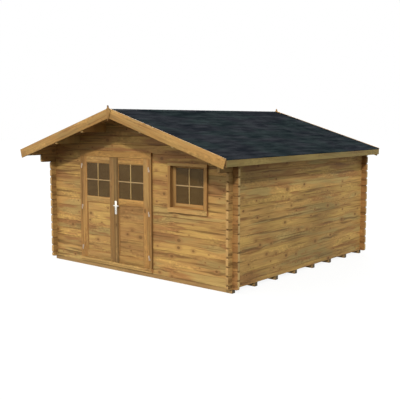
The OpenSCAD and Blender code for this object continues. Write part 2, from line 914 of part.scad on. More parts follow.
finial(back_y + rear_over);  // rear_finial
fascia(-1);  // left_fascia
fascia(1);  // right_fascia
door_jamb(door_x0, pass_x0);  // door_left_jamb
door_jamb(door_x1, pass_x1);  // door_right_jamb
door_head();
door_threshold();
leaf_stiles(left_leaf_edge, 1);  // left_door_stiles
leaf_rails(left_leaf_edge, 1);  // left_door_rails
leaf_panel(left_leaf_edge, 1);  // left_door_panel
leaf_glass(left_leaf_edge, 1);  // left_door_glass
leaf_hinges(left_axis_x, 1);  // left_door_hinges
leaf_stiles(right_leaf_edge, -1);  // right_door_stiles
leaf_rails(right_leaf_edge, -1);  // right_door_rails
leaf_panel(right_leaf_edge, -1);  // right_door_panel
leaf_glass(right_leaf_edge, -1);  // right_door_glass
leaf_hinges(right_axis_x, -1);  // right_door_hinges
door_cover_strip();
door_handle_plate();
door_lever();
door_frame_hinges();
window_jambs();
window_head();
window_sill();
window_sash();
window_glass();
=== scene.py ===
"""Log cabin: finishes, roof courses, boards, glazing and fittings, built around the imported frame."""

import logging
import math
from contextlib import contextmanager
from dataclasses import dataclass, field, fields
from enum import Enum
from typing import Callable, Iterator, Optional, Sequence, Union

import bmesh
import bpy
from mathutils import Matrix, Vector


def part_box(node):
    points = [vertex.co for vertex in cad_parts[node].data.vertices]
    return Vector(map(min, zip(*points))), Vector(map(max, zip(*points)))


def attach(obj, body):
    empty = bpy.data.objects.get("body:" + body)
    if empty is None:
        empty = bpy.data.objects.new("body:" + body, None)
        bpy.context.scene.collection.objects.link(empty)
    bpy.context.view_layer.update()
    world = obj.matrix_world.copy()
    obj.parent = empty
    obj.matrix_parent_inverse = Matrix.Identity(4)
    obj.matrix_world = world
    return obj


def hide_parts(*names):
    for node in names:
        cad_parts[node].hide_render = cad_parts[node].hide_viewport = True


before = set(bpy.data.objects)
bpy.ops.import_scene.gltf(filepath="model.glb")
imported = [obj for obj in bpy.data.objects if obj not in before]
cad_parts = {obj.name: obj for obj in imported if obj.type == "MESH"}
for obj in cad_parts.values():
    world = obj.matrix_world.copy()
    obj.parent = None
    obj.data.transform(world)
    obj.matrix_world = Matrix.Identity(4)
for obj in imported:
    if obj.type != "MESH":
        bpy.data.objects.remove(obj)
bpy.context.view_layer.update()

log = logging.getLogger("cabin")

Piece = bpy.types.Object
Material = bpy.types.Material
Node = bpy.types.Node
NodeTree = bpy.types.NodeTree
Socket = bpy.types.NodeSocket
Colour = tuple[float, float, float]
Pair = tuple[float, float]
Box = tuple[Vector, Vector]
Source = Union["Value", float, tuple]
Inputs = dict[Union[str, int], Source]
MeshPart = Union[bmesh.types.BMFace, bmesh.types.BMEdge, bmesh.types.BMVert]
Test = Callable[[Vector, Vector], bool]

CABIN = "cabin"

# Two places are the same within NEAR, or within LOOSE where they come from different meshes, in metres.
NEAR = 1e-5
LOOSE = 1e-4

# A direction's part on an axis when it runs along the axis, and the most it has when it runs across.
ALONG = 0.9
ACROSS = 0.1

# Faces that meet at less than this angle, in degrees, are shaded as one curve.
SMOOTH_BELOW = 30.0

# Start and width, across the grain, of boards so wide that a piece is never parted.
ONE_PIECE: Pair = (-6.0, 12.0)

# What sets the figure of one wood finish apart from the others.
SEEDS: dict[str, float] = {
    "front_logs": 21.0, "back_logs": 2.0, "left_logs": 3.0, "right_logs": 24.0, "floor_wood": 5.0,
    "bearer_wood": 6.0, "left_roof_boards_wood": 6.0, "right_roof_boards_wood": 8.0, "purlin_wood": 9.0,
    "left_barge_wood": 9.0, "right_barge_wood": 11.0, "left_fascia_wood": 12.0, "right_fascia_wood": 14.0,
    "finial_wood": 16.0, "upright_bar_wood": 21.0, "level_bar_wood": 22.0, "bead_wood": 23.0,
    "left_door_meeting_stile_wood": 30.0, "right_door_meeting_stile_wood": 30.0, "stile_wood": 31.0,
    "left_door_rail_wood": 32.0, "right_door_rail_wood": 32.0, "mould_wood": 33.0,
    "left_door_panel_wood": 33.0, "right_door_panel_wood": 35.0, "post_wood": 41.0, "head_wood": 42.0,
    "strip_wood": 43.0, "threshold_wood": 44.0, "sash_stile_wood": 51.0, "sash_rail_wood": 52.0,
    "window_post_wood": 53.0, "window_beam_wood": 54.0,
}


class Grain(Enum):
    """Which way the grain of a piece runs, as the order of along, across and depth on X, Y and Z."""

    ACROSS_CABIN = "XZY"
    FRONT_TO_BACK = "YZX"
    FLAT_FRONT_TO_BACK = "YXZ"
    UPRIGHT = "ZXY"
    DOWN_SLOPE = "XYZ"


class Side(Enum):
    """Left or right half of the cabin, seen from the front."""

    LEFT = "left"
    RIGHT = "right"

    @property
    def sign(self) -> int:
        """Sign of X on this side."""
        return -1 if self is Side.LEFT else 1


class Slot(Enum):
    """The record's material slots that new pieces take."""

    BOARDS = "sawn_boards"
    ROOF = "roof_covering"
    BARGE = "barge_boards"
    JOINERY = "door_and_window_wood"
    METAL = "door_metal"


class Parts(Enum):
    """What is picked in a mesh, with the name of its list there."""

    FACE = "faces"
    EDGE = "edges"
    VERT = "verts"


class Value:
    """A socket in a node tree, whose value takes part in sums like a number."""

    def __init__(self, tree: "Tree", socket: Socket) -> None:
        """Keeps the tree and the socket in it."""
        self.tree = tree
        self.socket = socket

    def __add__(self, other: Source) -> "Value":
        """Returns the sum."""
        return self.tree.math("ADD", self, other)

    def __sub__(self, other: Source) -> "Value":
        """Returns the difference."""
        return self.tree.math("SUBTRACT", self, other)

    def __rsub__(self, other: float) -> "Value":
        """Returns a number less this value."""
        return self.tree.math("SUBTRACT", other, self)

    def __mul__(self, other: Source) -> "Value":
        """Returns the product."""
        return self.tree.math("MULTIPLY", self, other)

    def __truediv__(self, other: Source) -> "Value":
        """Returns the quotient."""
        return self.tree.math("DIVIDE", self, other)

    def __pow__(self, power: float) -> "Value":
        """Returns a power of the value."""
        return self.tree.math("POWER", self, power)

    def __abs__(self) -> "Value":
        """Returns the value without its sign."""
        return self.tree.math("ABSOLUTE", self)


class Tree:
    """A node tree that is filled with short calls."""

    def __init__(self, tree: NodeTree) -> None:
        """Keeps the tree that the calls fill."""
        self.tree = tree

    def plug(self, socket: Socket, source: Source) -> None:
        """Links a socket to a source, or sets the socket's own value.

        Args:
            socket: The input that is fed.
            source: A value in the tree, a number or a colour.
        """
        if isinstance(source, Value):
            self.tree.links.new(source.socket, socket)
        elif isinstance(source, tuple) and len(source) == 3 and socket.type == "RGBA":
            socket.default_value = (*source, 1.0)
        else:
            socket.default_value = source

    def feed(self, node: Node, inputs: Inputs) -> None:
        """Plugs sources into a node's inputs, given by name or number."""
        for name, source in inputs.items():
            self.plug(node.inputs[name], source)

    def add(self, kind: str, inputs: Optional[Inputs] = None, **settings: object) -> Node:
        """Adds a node.

        Args:
            kind: Node type without the ShaderNode prefix.
            inputs: What its inputs are fed from, by name or number.
            settings: Properties that are set on the node.

        Returns:
            The new node.
        """
        node = self.tree.nodes.new("ShaderNode" + kind)
        for name, value in settings.items():
            setattr(node, name, value)
        self.feed(node, inputs or {})
        return node

    def out(self, node: Node, name: Union[str, int] = 0) -> Value:
        """Returns one output of a node, given by name or number."""
        return Value(self, node.outputs[name])

    def math(self, operation: str, *operands: Source) -> Value:
        """Adds a Math node and returns its result."""
        return self.out(self.add("Math", dict(enumerate(operands)), operation=operation))

    def step(self, value: Source, low: float, high: float, to: Pair = (0.0, 1.0)) -> Value:
        """Maps a value smoothly from the range of low to high to the two results, and returns it."""
        inputs = {"Value": value, "From Min": low, "From Max": high, "To Min": to[0], "To Max": to[1]}
        return self.out(self.add("MapRange", inputs, interpolation_type="SMOOTHSTEP"), "Result")

    def mix(self, factor: Source, a: Source, b: Source, blend: str = "MIX") -> Value:
        """Mixes two colours by the second one's share and returns the result."""
        return self.out(self.add("Mix", {0: factor, 6: a, 7: b}, data_type="RGBA", blend_type=blend), 2)

    def layered(self, colour: Source, layers: Sequence[tuple[Source, Source]]) -> Source:
        """Lays colours over a colour.

        Args:
            colour: The lowest colour.
            layers: Mask and colour of each layer, in order.

        Returns:
            The colour with all layers on it.
        """
        for mask, tint in layers:
            colour = self.mix(mask, colour, tint)
        return colour

    def shaded(self, colour: Source, light: Source) -> Value:
        """Multiplies a colour by a grey level and returns it."""
        return self.mix(1.0, colour, self.vector(light, light, light), "MULTIPLY")

    def vector(self, x: Source, y: Source, z: Source) -> Value:
        """Combines three values into a vector and returns it."""
        return self.out(self.add("CombineXYZ", {0: x, 1: y, 2: z}))

    def split(self, vector: Source) -> tuple[Value, ...]:
        """Parts a vector or colour into its three values and returns them."""
        node = self.add("SeparateXYZ", {0: vector})
        return tuple(self.out(node, index) for index in range(3))

    def noise(self, vector: Source, detail: float = 2.0, roughness: float = 0.5) -> Value:
        """Returns a noise of scale 1, about 0.5 on average, on a vector that is already scaled."""
        return self.out(self.add(
            "TexNoise", {"Vector": vector, "Scale": 1.0, "Detail": detail, "Roughness": roughness}))

    def random(self, vector: Source) -> tuple[Value, ...]:
        """Returns three random values that are constant for equal vectors."""
        return self.split(self.out(self.add("TexWhiteNoise", {"Vector": vector}), "Color"))

    def place(self, kind: str = "Object") -> Value:
        """Returns the surface's own coordinates, or its normal."""
        return self.out(self.add("TexCoord"), kind)


class Group(Tree):
    """A node group with named inputs and outputs, built once."""

    def __init__(self, name: str) -> None:
        """Makes an empty group.

        Args:
            name: Name of the group.
        """
        self.group = bpy.data.node_groups.new(name, "ShaderNodeTree")
        super().__init__(self.group)
        self.entry = self.group.nodes.new("NodeGroupInput")
        self.exit = self.group.nodes.new("NodeGroupOutput")

    def takes(self, name: str, kind: str = "Float", default: Union[float, tuple] = 0.0) -> Value:
        """Adds a named input.

        Args:
            name: Name of the input.
            kind: Type of its socket.
            default: Value that it has when nothing is plugged in.

        Returns:
            The input's value inside the group.
        """
        socket = self.group.interface.new_socket(name=name, in_out="INPUT", socket_type="NodeSocket" + kind)
        socket.default_value = default
        return self.out(self.entry, name)

    def gives(self, values: dict[str, Source], kind: str = "Float") -> None:
        """Adds named outputs.

        Args:
            values: What each output is fed from.
            kind: Type of their sockets.
        """
        for name, source in values.items():
            self.group.interface.new_socket(name=name, in_out="OUTPUT", socket_type="NodeSocket" + kind)
            self.plug(self.exit.inputs[name], source)


class TimberFigure(Group):
    """Clouds, streaks, rings and knots of stained softwood, one board beside the next.

    Lengths are in metres, and pairs of waves are counted in a metre, along and across the grain.
    """

    RING = 0.0085
    WANDER = 0.12
    LATE_RISE = (0.25, 0.9)
    LATE_FALL = (0.9, 1.0)
    FIBRE_WAVES = (9.0, 380.0)
    BEND_WAVES = (0.6, 5.0)
    FINE_WAVES = (2.2, 42.0)
    STREAK_WAVES = (0.9, 17.0)
    BLUSH_WAVES = (1.3, 9.0)
    CLOUD_WAVES = (0.9, 5.5)
    PATCH_WAVES = (1.6, 8.0)
    WASH_WAVES = (0.7, 0.9)
    MOTTLE_WAVES = (16.0, 34.0)
    LAYERS = 3.0
    ROUGHNESS = 0.55
    FIGURED = (0.48, 0.62)
    JOINT = (0.009, 0.002)
    END_JOINT = (0.018, 0.004)
    BOARD_SALT = 3.1
    BOARD_SHIFT = 40.0
    CUT_SHIFT = 31.0
    SEED_SHIFT = 5.7
    CLOUD_CUT, PATCH_CUT, WASH_CUT = 40.0, 80.0, 120.0
    KNOT_SMALL = 0.006
    KNOT_LARGE = 0.031
    KNOT_NONE = 0.0005
    KNOT_SKEW = 1.5
    KNOT_OVAL = 0.7
    KNOT_SPREAD = 0.75
    KNOT_EDGE = (1.1, 0.75)
    KNOT_PALEST = 0.4
    HALO_EDGE = (3.2, 0.9)
    CROWD_WAVES = 0.8
    CROWD_CUT = 9.0
    CROWD_RANGE = (0.38, 0.6)
    CROWD_CHANCE = (0.2, 1.8)
    PULL_REACH = -0.12
    PULL = 0.8

    def __init__(self) -> None:
        """Builds the group."""
        super().__init__("Timber figure")
        along, across, depth, start = (
            self.takes(name) for name in ("Along", "Across", "Depth", "Board Start"))
        width = self.takes("Board Width", default=0.136)
        seed = self.takes("Seed")
        spacing = self.takes("Knot Spacing", default=0.5)
        chance = self.takes("Knot Chance", default=0.6)

        row = (across - start) / width
        board = self.math("FLOOR", row)
        tone, warmth, drift = self.random(self.vector(board, seed, self.BOARD_SALT))
        local = (row - board - 0.5) * width
        place = tone * self.BOARD_SHIFT + along
        cut = drift * self.CUT_SHIFT
        wide = seed * self.SEED_SHIFT

        knot, halo, flow = self.knots(place, local, width, spacing, chance)
        bend = self.stretched(place, flow, self.BEND_WAVES, cut)
        band = self.math("FRACT", (bend * self.WANDER + flow) / self.RING)
        edge = width * 0.5 - abs(local)
        lengthwise, crosswise = self.FIBRE_WAVES
        patches = self.stretched(along, across, self.PATCH_WAVES, wide + self.PATCH_CUT)
        mottle = self.stretched(place, flow, self.MOTTLE_WAVES, cut) - 0.5
        self.gives({
            "Tone": tone, "Warmth": warmth, "Knot": knot, "Halo": halo,
            "Late Wood": self.step(band, *self.LATE_RISE) * self.step(band, *self.LATE_FALL, (1.0, 0.0)),
            "Fibre": self.noise(self.vector(place * lengthwise, local * crosswise, depth * crosswise)),
            "Fine": self.stretched(place, flow, self.FINE_WAVES, cut),
            "Streak": self.stretched(place, flow, self.STREAK_WAVES, cut, self.LAYERS),
            "Blush": self.stretched(along, across, self.BLUSH_WAVES, wide, self.LAYERS),
            "Cloud": self.stretched(along, across, self.CLOUD_WAVES, wide + self.CLOUD_CUT),
            "Wash": self.stretched(along, across, self.WASH_WAVES, wide + self.WASH_CUT),
            "Mottle": self.step(patches, *self.FIGURED) * mottle,
            "Joint": self.step(edge, *self.JOINT),
            "End Joint": self.step(edge, *self.END_JOINT),
        })

    def stretched(self, along: Value, across: Value, waves: Pair, cut: Source, detail: float = 2.0) -> Value:
        """Returns a noise drawn out along the grain, with its waves in a metre and its place of cut."""
        return self.noise(self.vector(along * waves[0], across * waves[1], cut), detail, self.ROUGHNESS)

    def knots(self, place: Value, local: Value, width: Value, spacing: Value,
              chance: Value) -> tuple[Value, Value, Value]:
        """Places at most one knot in each stretch of a board and bends the grain round it.

        Args:
            place: Distance along the board.
            local: Distance across it from its middle.
            width: Width of the board.
            spacing: Length of a stretch.
            chance: Share of the stretches that have a knot.

        Returns:
            The knot's mask, the halo round it and the bent distance across the board.
        """
        ratio = place / spacing
        cell = self.add("TexVoronoi", {"Scale": 1.0, "W": ratio}, voronoi_dimensions="1D")
        rise, size, present = self.split(self.out(cell, "Color"))
        run = (ratio - self.out(cell, "W")) * spacing
        centre = (rise * self.KNOT_SPREAD - self.KNOT_SPREAD / 2) * width
        off = local - centre
        drawn = self.noise(self.vector(place * self.CROWD_WAVES, 0.0, self.CROWD_CUT))
        crowd = self.step(drawn, *self.CROWD_RANGE, self.CROWD_CHANCE)
        there = self.math("LESS_THAN", present, chance * crowd)
        spread = size ** self.KNOT_SKEW * (self.KNOT_LARGE - self.KNOT_SMALL)
        radius = (spread + self.KNOT_SMALL) * there
        reach = self.math("SQRT", (run * self.KNOT_OVAL) ** 2.0 + off ** 2.0)
        far = reach / self.math("MAXIMUM", radius, self.KNOT_NONE)
        pull = self.math("EXPONENT", far ** 2.0 * self.PULL_REACH)
        strength = rise * (1.0 - self.KNOT_PALEST) + self.KNOT_PALEST
        flow = off * (1.0 - pull * self.PULL) + centre
        return self.step(far, *self.KNOT_EDGE) * strength, self.step(far, *self.HALO_EDGE), flow


@dataclass(frozen=True)
class Stain:
    """The colours of one stain on softwood, as colours of light."""

    pale: Colour
    base: Colour
    ruddy: Colour
    moss: Colour
    umber: Colour = (0.120, 0.056, 0.018)
    end: Colour = (0.40, 0.245, 0.105)
    tip: Colour = (0.310, 0.145, 0.050)

    @classmethod
    def names(cls) -> list[str]:
        """Returns the colours' names as a node group shows them."""
        return [part.name.title() for part in fields(cls)]


class StainedTimber(Group):
    """Colour, roughness and height of stained timber.

    Ranges are of the figure's values, laws are a gain and a level, and the other numbers are shares.
    """

    ANY_COLOUR = (0.4, 0.2, 0.1, 1.0)
    WARMTH = 0.17
    MOSS_RANGE = (0.38, 0.49)
    PALE_RANGE = (0.51, 0.62)
    FLUSH = 0.13
    BLUSH = 0.9
    BLUSH_RANGE = (0.50, 0.64)
    STREAK = 0.7
    STREAK_RANGE = (0.53, 0.68)
    LATE = 0.15
    HALO = 0.55
    KNOT = 0.92
    # The joint darkening paints the shade that falls in the joints and in the notches of the log ends, with
    # some dirt.
    GRIME_RANGE = (0.36, 0.56)
    TIP_GRIME = 0.6
    END_GRIME = 0.8
    ROUGHNESS_LAW = (0.2, 0.5)
    FIBRE_HEIGHT, LATE_HEIGHT, KNOT_HEIGHT = 0.5, 0.4, 0.6
    BOARD_LAW = (0.30, 0.85)
    FIBRE_LAW = (0.30, 0.85)
    FINE_LAW = (0.70, 0.65)
    MOTTLE = 1.3
    RING_CENTRES = (0.09, 0.05)
    RING_WAVES = 130.0
    RING = 0.5
    END_LAW = (0.35, 0.65)

    def __init__(self, figure: TimberFigure) -> None:
        """Builds the group.

        Args:
            figure: The group that gives the timber's figure.
        """
        super().__init__("Stained timber")
        node = self.add("Group", node_tree=figure.group)
        for socket in node.inputs:
            self.plug(socket, self.takes(socket.name, default=socket.default_value))
        pale, base, ruddy, moss, umber, end, tip = (
            self.takes(name, "Color", self.ANY_COLOUR) for name in Stain.names())
        ends, tips, side_shade_mask = (self.takes(name) for name in ("End Mask", "Tip Mask", "Side Grime"))
        contrast = self.takes("Contrast", default=1.0)
        dirt_and_shade = self.takes("Joint Grime", default=0.2)
        self.takes("Wash Depth")
        seen = {socket.name: Value(self, socket) for socket in node.outputs}

        hue = (seen["Warmth"] - 0.5) * self.WARMTH + seen["Cloud"]
        flush = (0.5 - seen["Tone"]) * self.FLUSH + seen["Blush"]
        streak = self.step(seen["Streak"], *self.STREAK_RANGE) * self.STREAK
        broken = dirt_and_shade * self.step(seen["Streak"], *self.GRIME_RANGE)
        dirt_and_shade_mask = self.math("MAXIMUM", broken, tips * self.TIP_GRIME)
        colour = self.layered(moss, (
            (self.step(hue, *self.MOSS_RANGE), base),
            (self.step(hue, *self.PALE_RANGE), pale),
            (self.step(flush, *self.BLUSH_RANGE) * contrast * self.BLUSH, ruddy),
            (tips, tip),
        ))
        # The joint and log-end notch layers paint the shade in grooves, with some dirt; the side layer
        # paints shade on faces across the grain.
        colour = self.layered(self.shaded(colour, self.light(seen)), (
            ((seen["Late Wood"] * self.LATE + streak) * contrast, umber),
            (seen["Halo"] * self.HALO, ruddy),
            (seen["Knot"] * self.KNOT, umber),
            (seen["Joint"] * dirt_and_shade_mask, umber),
            (ends, self.shaded(end, self.end_tone(seen["Tone"]))),
            (seen["End Joint"] * ends * self.END_GRIME, umber),
            (side_shade_mask, umber),
        ))
        height = seen["Fibre"] * self.FIBRE_HEIGHT + seen["Late Wood"] * self.LATE_HEIGHT
        self.gives({"Color": colour}, "Color")
        self.gives({"Roughness": self.line(seen["Fibre"], self.ROUGHNESS_LAW),
                    "Height": height - seen["Knot"] * self.KNOT_HEIGHT})

    def line(self, value: Value, law: Pair) -> Value:
        """Returns a value times a gain, plus a level."""
        return value * law[0] + law[1]

    def light(self, seen: dict[str, Value]) -> Value:
        """Works out the grey level of board, fibre and fine streaks.

        Args:
            seen: The figure's values by name.

        Returns:
            The level, about 1 on average.
        """
        board = self.line(seen["Tone"], self.BOARD_LAW)
        fibre = self.line(seen["Fibre"], self.FIBRE_LAW)
        fine = seen["Mottle"] * self.MOTTLE + self.line(seen["Fine"], self.FINE_LAW)
        wash = (seen["Wash"] - 0.5) * self.out(self.entry, "Wash Depth") + 1.0
        return board * wash * (fibre * fine)

    def end_tone(self, tone: Value) -> Value:
        """Works out the grey level of the rings on a sawn end.

        Args:
            tone: The board's own tone.

        Returns:
            The level.
        """
        across, depth = (
            self.math("PINGPONG", self.out(self.entry, name), centre) ** 2.0
            for name, centre in zip(("Across", "Depth"), self.RING_CENTRES))
        ring = self.math("PINGPONG", self.math("SQRT", across + depth) * self.RING_WAVES, 0.5)
        return ring * self.RING + self.line(tone, self.END_LAW)


class Granules(Group):
    """Speckle of the mineral grit on roof shingles, with a tone for each tab.

    Waves are counted in a metre, down and along the slope.
    """

    TAB_SALT = 7.7
    GRIT_WAVES = 420.0
    CLOUD_WAVES, CLOUD_CUT = (9.0, 2.4), 4.0
    SHEEN_WAVES, SHEEN_CUT = (2.2, 1.1), 11.0
    VEIL_WAVES, VEIL_CUT = (2.6, 0.9), 17.0
    CLOUD, SHEEN, TONE = 0.62, 0.28, 0.10
    BLUE_RANGE = (0.32, 0.68)
    FLECK, FLECK_LEVEL = 1.1, 0.45
    HUE = 0.08
    CAST_RANGE = (0.38, 0.62)
    WARM_CAST = (1.08, 0.98, 1.06)
    COOL_CAST = (0.90, 1.03, 0.99)

    def __init__(self) -> None:
        """Builds the group."""
        super().__init__("Shingle grit")
        down = self.takes("Down")
        along = self.takes("Along")
        course = self.takes("Course", default=0.14)
        tab = self.takes("Tab", default=0.33)
        dark = self.takes("Dark", "Color", (0.01, 0.015, 0.02, 1.0))
        blue = self.takes("Blue", "Color", (0.03, 0.045, 0.06, 1.0))
        row = self.math("FLOOR", down / course)
        cell = self.math("FLOOR", along / tab + self.math("MODULO", row, 2.0) * 0.5)
        tone, hue, _ = self.random(self.vector(row, cell, self.TAB_SALT))
        grit = self.noise(self.vector(down * self.GRIT_WAVES, along * self.GRIT_WAVES, tone), 1.0)
        cloud, sheen, veil = (
            self.noise(self.vector(down * waves[0], along * waves[1], cut), detail, roughness)
            for waves, cut, detail, roughness in (
                (self.CLOUD_WAVES, self.CLOUD_CUT, 4.0, 0.55), (self.SHEEN_WAVES, self.SHEEN_CUT, 2.0, 0.5),
                (self.VEIL_WAVES, self.VEIL_CUT, 2.0, 0.5)))
        share = tone * self.TONE + (sheen * self.SHEEN + cloud * self.CLOUD)
        colour = self.mix(self.step(share, *self.BLUE_RANGE), dark, blue)
        colour = self.shaded(colour, grit * self.FLECK + self.FLECK_LEVEL)
        cast = hue * self.HUE + veil * (1.0 - self.HUE)
        tint = self.mix(self.step(cast, *self.CAST_RANGE), self.WARM_CAST, self.COOL_CAST)
        self.gives({"Color": self.mix(1.0, colour, tint, "MULTIPLY")}, "Color")
        self.gives({"Height": grit})


@dataclass(frozen=True)
class WoodFinish:
    """Stained timber on pieces whose grain runs one way."""

    name: str
    grain: Grain
    stain: Stain
    boards: Pair = ONE_PIECE
    knot_spacing: float = 0.36
    knot_chance: float = 0.6
    contrast: float = 1.0
    # Joints are darkened as painted shade with some dirt, and faces across the grain as painted shade.
    joint_grime: float = 0.0
    side_grime: float = 0.0
    wash: float = 0.0
    tilt: float = 0.0
    bump: float = 0.35
    bump_depth: float = 0.0008
    shine: float = 0.2
    end_facing: Pair = (0.45, 0.7)
    side_facing: Pair = (0.6, 0.9)
    tips_from: Optional[Pair] = None
    tip_fade: Pair = (-0.004, 0.012)
    tip_share: float = 0.85

    def material(self, timber: StainedTimber) -> Material:
        """Builds the material.

        Args:
            timber: The group that gives colour, roughness and height.

        Returns:
            The new material.
        """
        made, tree, shader = new_material(self.name)
        along, across, depth = self.by_grain(tree, "Object")
        facing_along, facing_across, _ = self.by_grain(tree, "Normal")
        inputs = {
            "Along": along, "Across": across, "Depth": depth,
            "Board Start": self.boards[0], "Board Width": self.boards[1], "Seed": SEEDS[self.name],
            "Knot Spacing": self.knot_spacing, "Knot Chance": self.knot_chance, "Contrast": self.contrast,
            "Joint Grime": self.joint_grime, "Wash Depth": self.wash,
            "End Mask": tree.step(abs(facing_along), *self.end_facing),
            "Side Grime": tree.step(abs(facing_across), *self.side_facing, (0.0, self.side_grime)),
            "Tip Mask": self.tip_mask(tree, along),
        }
        inputs.update((part.name.title(), getattr(self.stain, part.name)) for part in fields(self.stain))
        group = tree.add("Group", inputs, node_tree=timber.group)
        tree.feed(shader, {"Base Color": tree.out(group, "Color"),
                           "Roughness": tree.out(group, "Roughness"), "Specular IOR Level": self.shine})
        add_bump(tree, shader, tree.out(group, "Height"), self.bump, self.bump_depth)
        return made

    def tip_mask(self, tree: Tree, along: Value) -> Source:
        """Masks the log ends that run past the corners.

        Args:
            tree: Node tree of the material.
            along: Distance along the logs.

        Returns:
            The mask, or nothing on a piece without such ends.
        """
        if self.tips_from is None:
            return 0.0
        middle, reach = self.tips_from
        fade = (reach + part for part in self.tip_fade)
        return tree.step(abs(along - middle), *fade) * self.tip_share

    def by_grain(self, tree: Tree, kind: str) -> tuple[Value, ...]:
        """Reads coordinates or normals, turned about Y so that a sloping board lies level.

        Args:
            tree: Node tree of the material.
            kind: Which of the surface's vectors is read.

        Returns:
            Its values along, across and into the grain.
        """
        turned = tree.add("Mapping", {"Rotation": (0.0, self.tilt, 0.0), "Vector": tree.place(kind)},
                          vector_type="POINT")
        parts = dict(zip("XYZ", tree.split(tree.out(turned))))
        return tuple(parts[axis] for axis in self.grain.value)


@dataclass(frozen=True)
class ShingleFinish:
    """Dark mineral shingles, tinted tab by tab."""

    name: str
    course: float
    tab: float
    slope_cos: float
    dark: Colour = (0.0115, 0.0150, 0.0195)
    blue: Colour = (0.0370, 0.0430, 0.0485)
    roughness: float = 0.92
    shine: float = 0.0
    bump: float = 0.5
    bump_depth: float = 0.0015

    def material(self, grit: Granules) -> Material:
        """Builds the material.

        Args:
            grit: The group that gives colour and height.

        Returns:
            The new material.
        """
        made, tree, shader = new_material(self.name)
        x, y, _ = tree.split(tree.place())
        group = tree.add("Group", {
            "Down": abs(x) / self.slope_cos, "Along": y, "Course": self.course, "Tab": self.tab,
            "Dark": self.dark, "Blue": self.blue}, node_tree=grit.group)
        tree.feed(shader, {"Base Color": tree.out(group, "Color"), "Roughness": self.roughness,
                           "Specular IOR Level": self.shine})
        add_bump(tree, shader, tree.out(group, "Height"), self.bump, self.bump_depth)
        return made


@dataclass(frozen=True)
class MetalFinish:
    """Satin metal with fine scratches."""

    name: str
    colour: Colour = (0.70, 0.67, 0.62)
    roughness: float = 0.3
    smoother: float = 0.08
    rougher: float = 0.12
    worn: float = 0.86
    cloud_range: Pair = (0.35, 0.7)
    scratch_range: Pair = (0.2, 0.8)
    cloud_waves: float = 30.0
    scratch_waves: Pair = (900.0, 40.0)
    scratch_layers: float = 3.0
    bump: float = 0.15
    bump_depth: float = 0.0002

    def material(self) -> Material:
        """Builds the material.

        Returns:
            The new material.
        """
        made, tree, shader = new_material(self.name)
        x, y, z = tree.split(tree.place())
        fine, drawn = self.scratch_waves
        scratch = tree.noise(tree.vector(x * fine, y * fine, z * drawn), self.scratch_layers)
        cloud = tree.noise(tree.vector(*(part * self.cloud_waves for part in (x, y, z))))
        worn = tuple(part * self.worn for part in self.colour)
        spread = (self.roughness - self.smoother, self.roughness + self.rougher)
        tree.feed(shader, {
            "Base Color": tree.mix(tree.step(cloud, *self.cloud_range), self.colour, worn),
            "Roughness": tree.step(scratch, *self.scratch_range, spread), "Metallic": 1.0})
        add_bump(tree, shader, scratch, self.bump, self.bump_depth)
        return made


@dataclass(frozen=True)
class GlassFinish:
    """Brown tinted glass with a little dust."""

    name: str
    colour: Colour = (0.098, 0.050, 0.012)
    dusty: Colour = (0.124, 0.070, 0.021)
    sheen: Colour = (1.0, 0.72, 0.42)
    shine: float = 0.5
    alpha: float = 0.6
    dust_waves: tuple[float, float, float] = (7.0, 7.0, 5.0)
    dust_layers: float = 4.0
    dust_range: Pair = (0.4, 0.7)
    film_range: Pair = (0.4, 0.8)
    roughness: Pair = (0.03, 0.10)

    def material(self) -> Material:
        """Builds the material.

        Returns:
            The new material.
        """
        made, tree, shader = new_material(self.name)
        parts = tree.split(tree.place())
        scaled = (part * waves for part, waves in zip(parts, self.dust_waves))
        dust = tree.noise(tree.vector(*scaled), self.dust_layers)
        tree.feed(shader, {
            "Base Color": tree.mix(tree.step(dust, *self.dust_range), self.colour, self.dusty),
            "Roughness": tree.step(dust, *self.film_range, self.roughness), "Alpha": self.alpha,
            "Specular IOR Level": self.shine, "Specular Tint": self.sheen})
        return made


def new_material(name: str) -> tuple[Material, Tree, Node]:
    """Makes a material with an empty surface.

    Args:
        name: Name of the material.

    Returns:
        The material, its node tree and its surface shader.
    """
    made = bpy.data.materials.new(name)
    made.use_nodes = True
    return made, Tree(made.node_tree), made.node_tree.nodes["Principled BSDF"]


def add_bump(tree: Tree, shader: Node, height: Value, strength: float, distance: float) -> None:
    """Feeds a shader's normal from a height, of which a value of 1 is the distance in metres."""
    node = tree.add("Bump", {"Strength": strength, "Distance": distance, "Height": height})
    tree.feed(shader, {"Normal": tree.out(node, "Normal")})


def clear_selection() -> None:
    """Leaves edit mode and deselects every object."""
    if bpy.context.mode != "OBJECT":
        bpy.ops.object.mode_set(mode="OBJECT")
    bpy.ops.object.select_all(action="DESELECT")


def activate(piece: Piece) -> None:
    """Makes a piece the only selected object and the active one.

    Args:
        piece: The piece that the next operators act on.
    """
    clear_selection()
    piece.select_set(True)
    bpy.context.view_layer.objects.active = piece


@contextmanager
def editing(piece: Piece) -> Iterator[None]:
    """Holds a piece in edit mode, with all of it selected at the start.

    Args:
        piece: The mesh that is edited.
    """
    activate(piece)
    bpy.ops.object.mode_set(mode="EDIT")
    bpy.ops.mesh.select_all(action="SELECT")
    yield
    bpy.ops.object.mode_set(mode="OBJECT")


def place_of(part: MeshPart) -> tuple[Vector, Vector]:
    """Reads where a part of a mesh lies.

    Args:
        part: A face, an edge or a vertex.

    Returns:
        Its middle, and its normal or an edge's direction.
    """
    if isinstance(part, bmesh.types.BMFace):
        return part.calc_center_median(), part.normal
    if isinstance(part, bmesh.types.BMEdge):
        first, last = (vertex.co for vertex in part.verts)
        return (first + last) / 2, (last - first).normalized()
    return part.co, part.normal


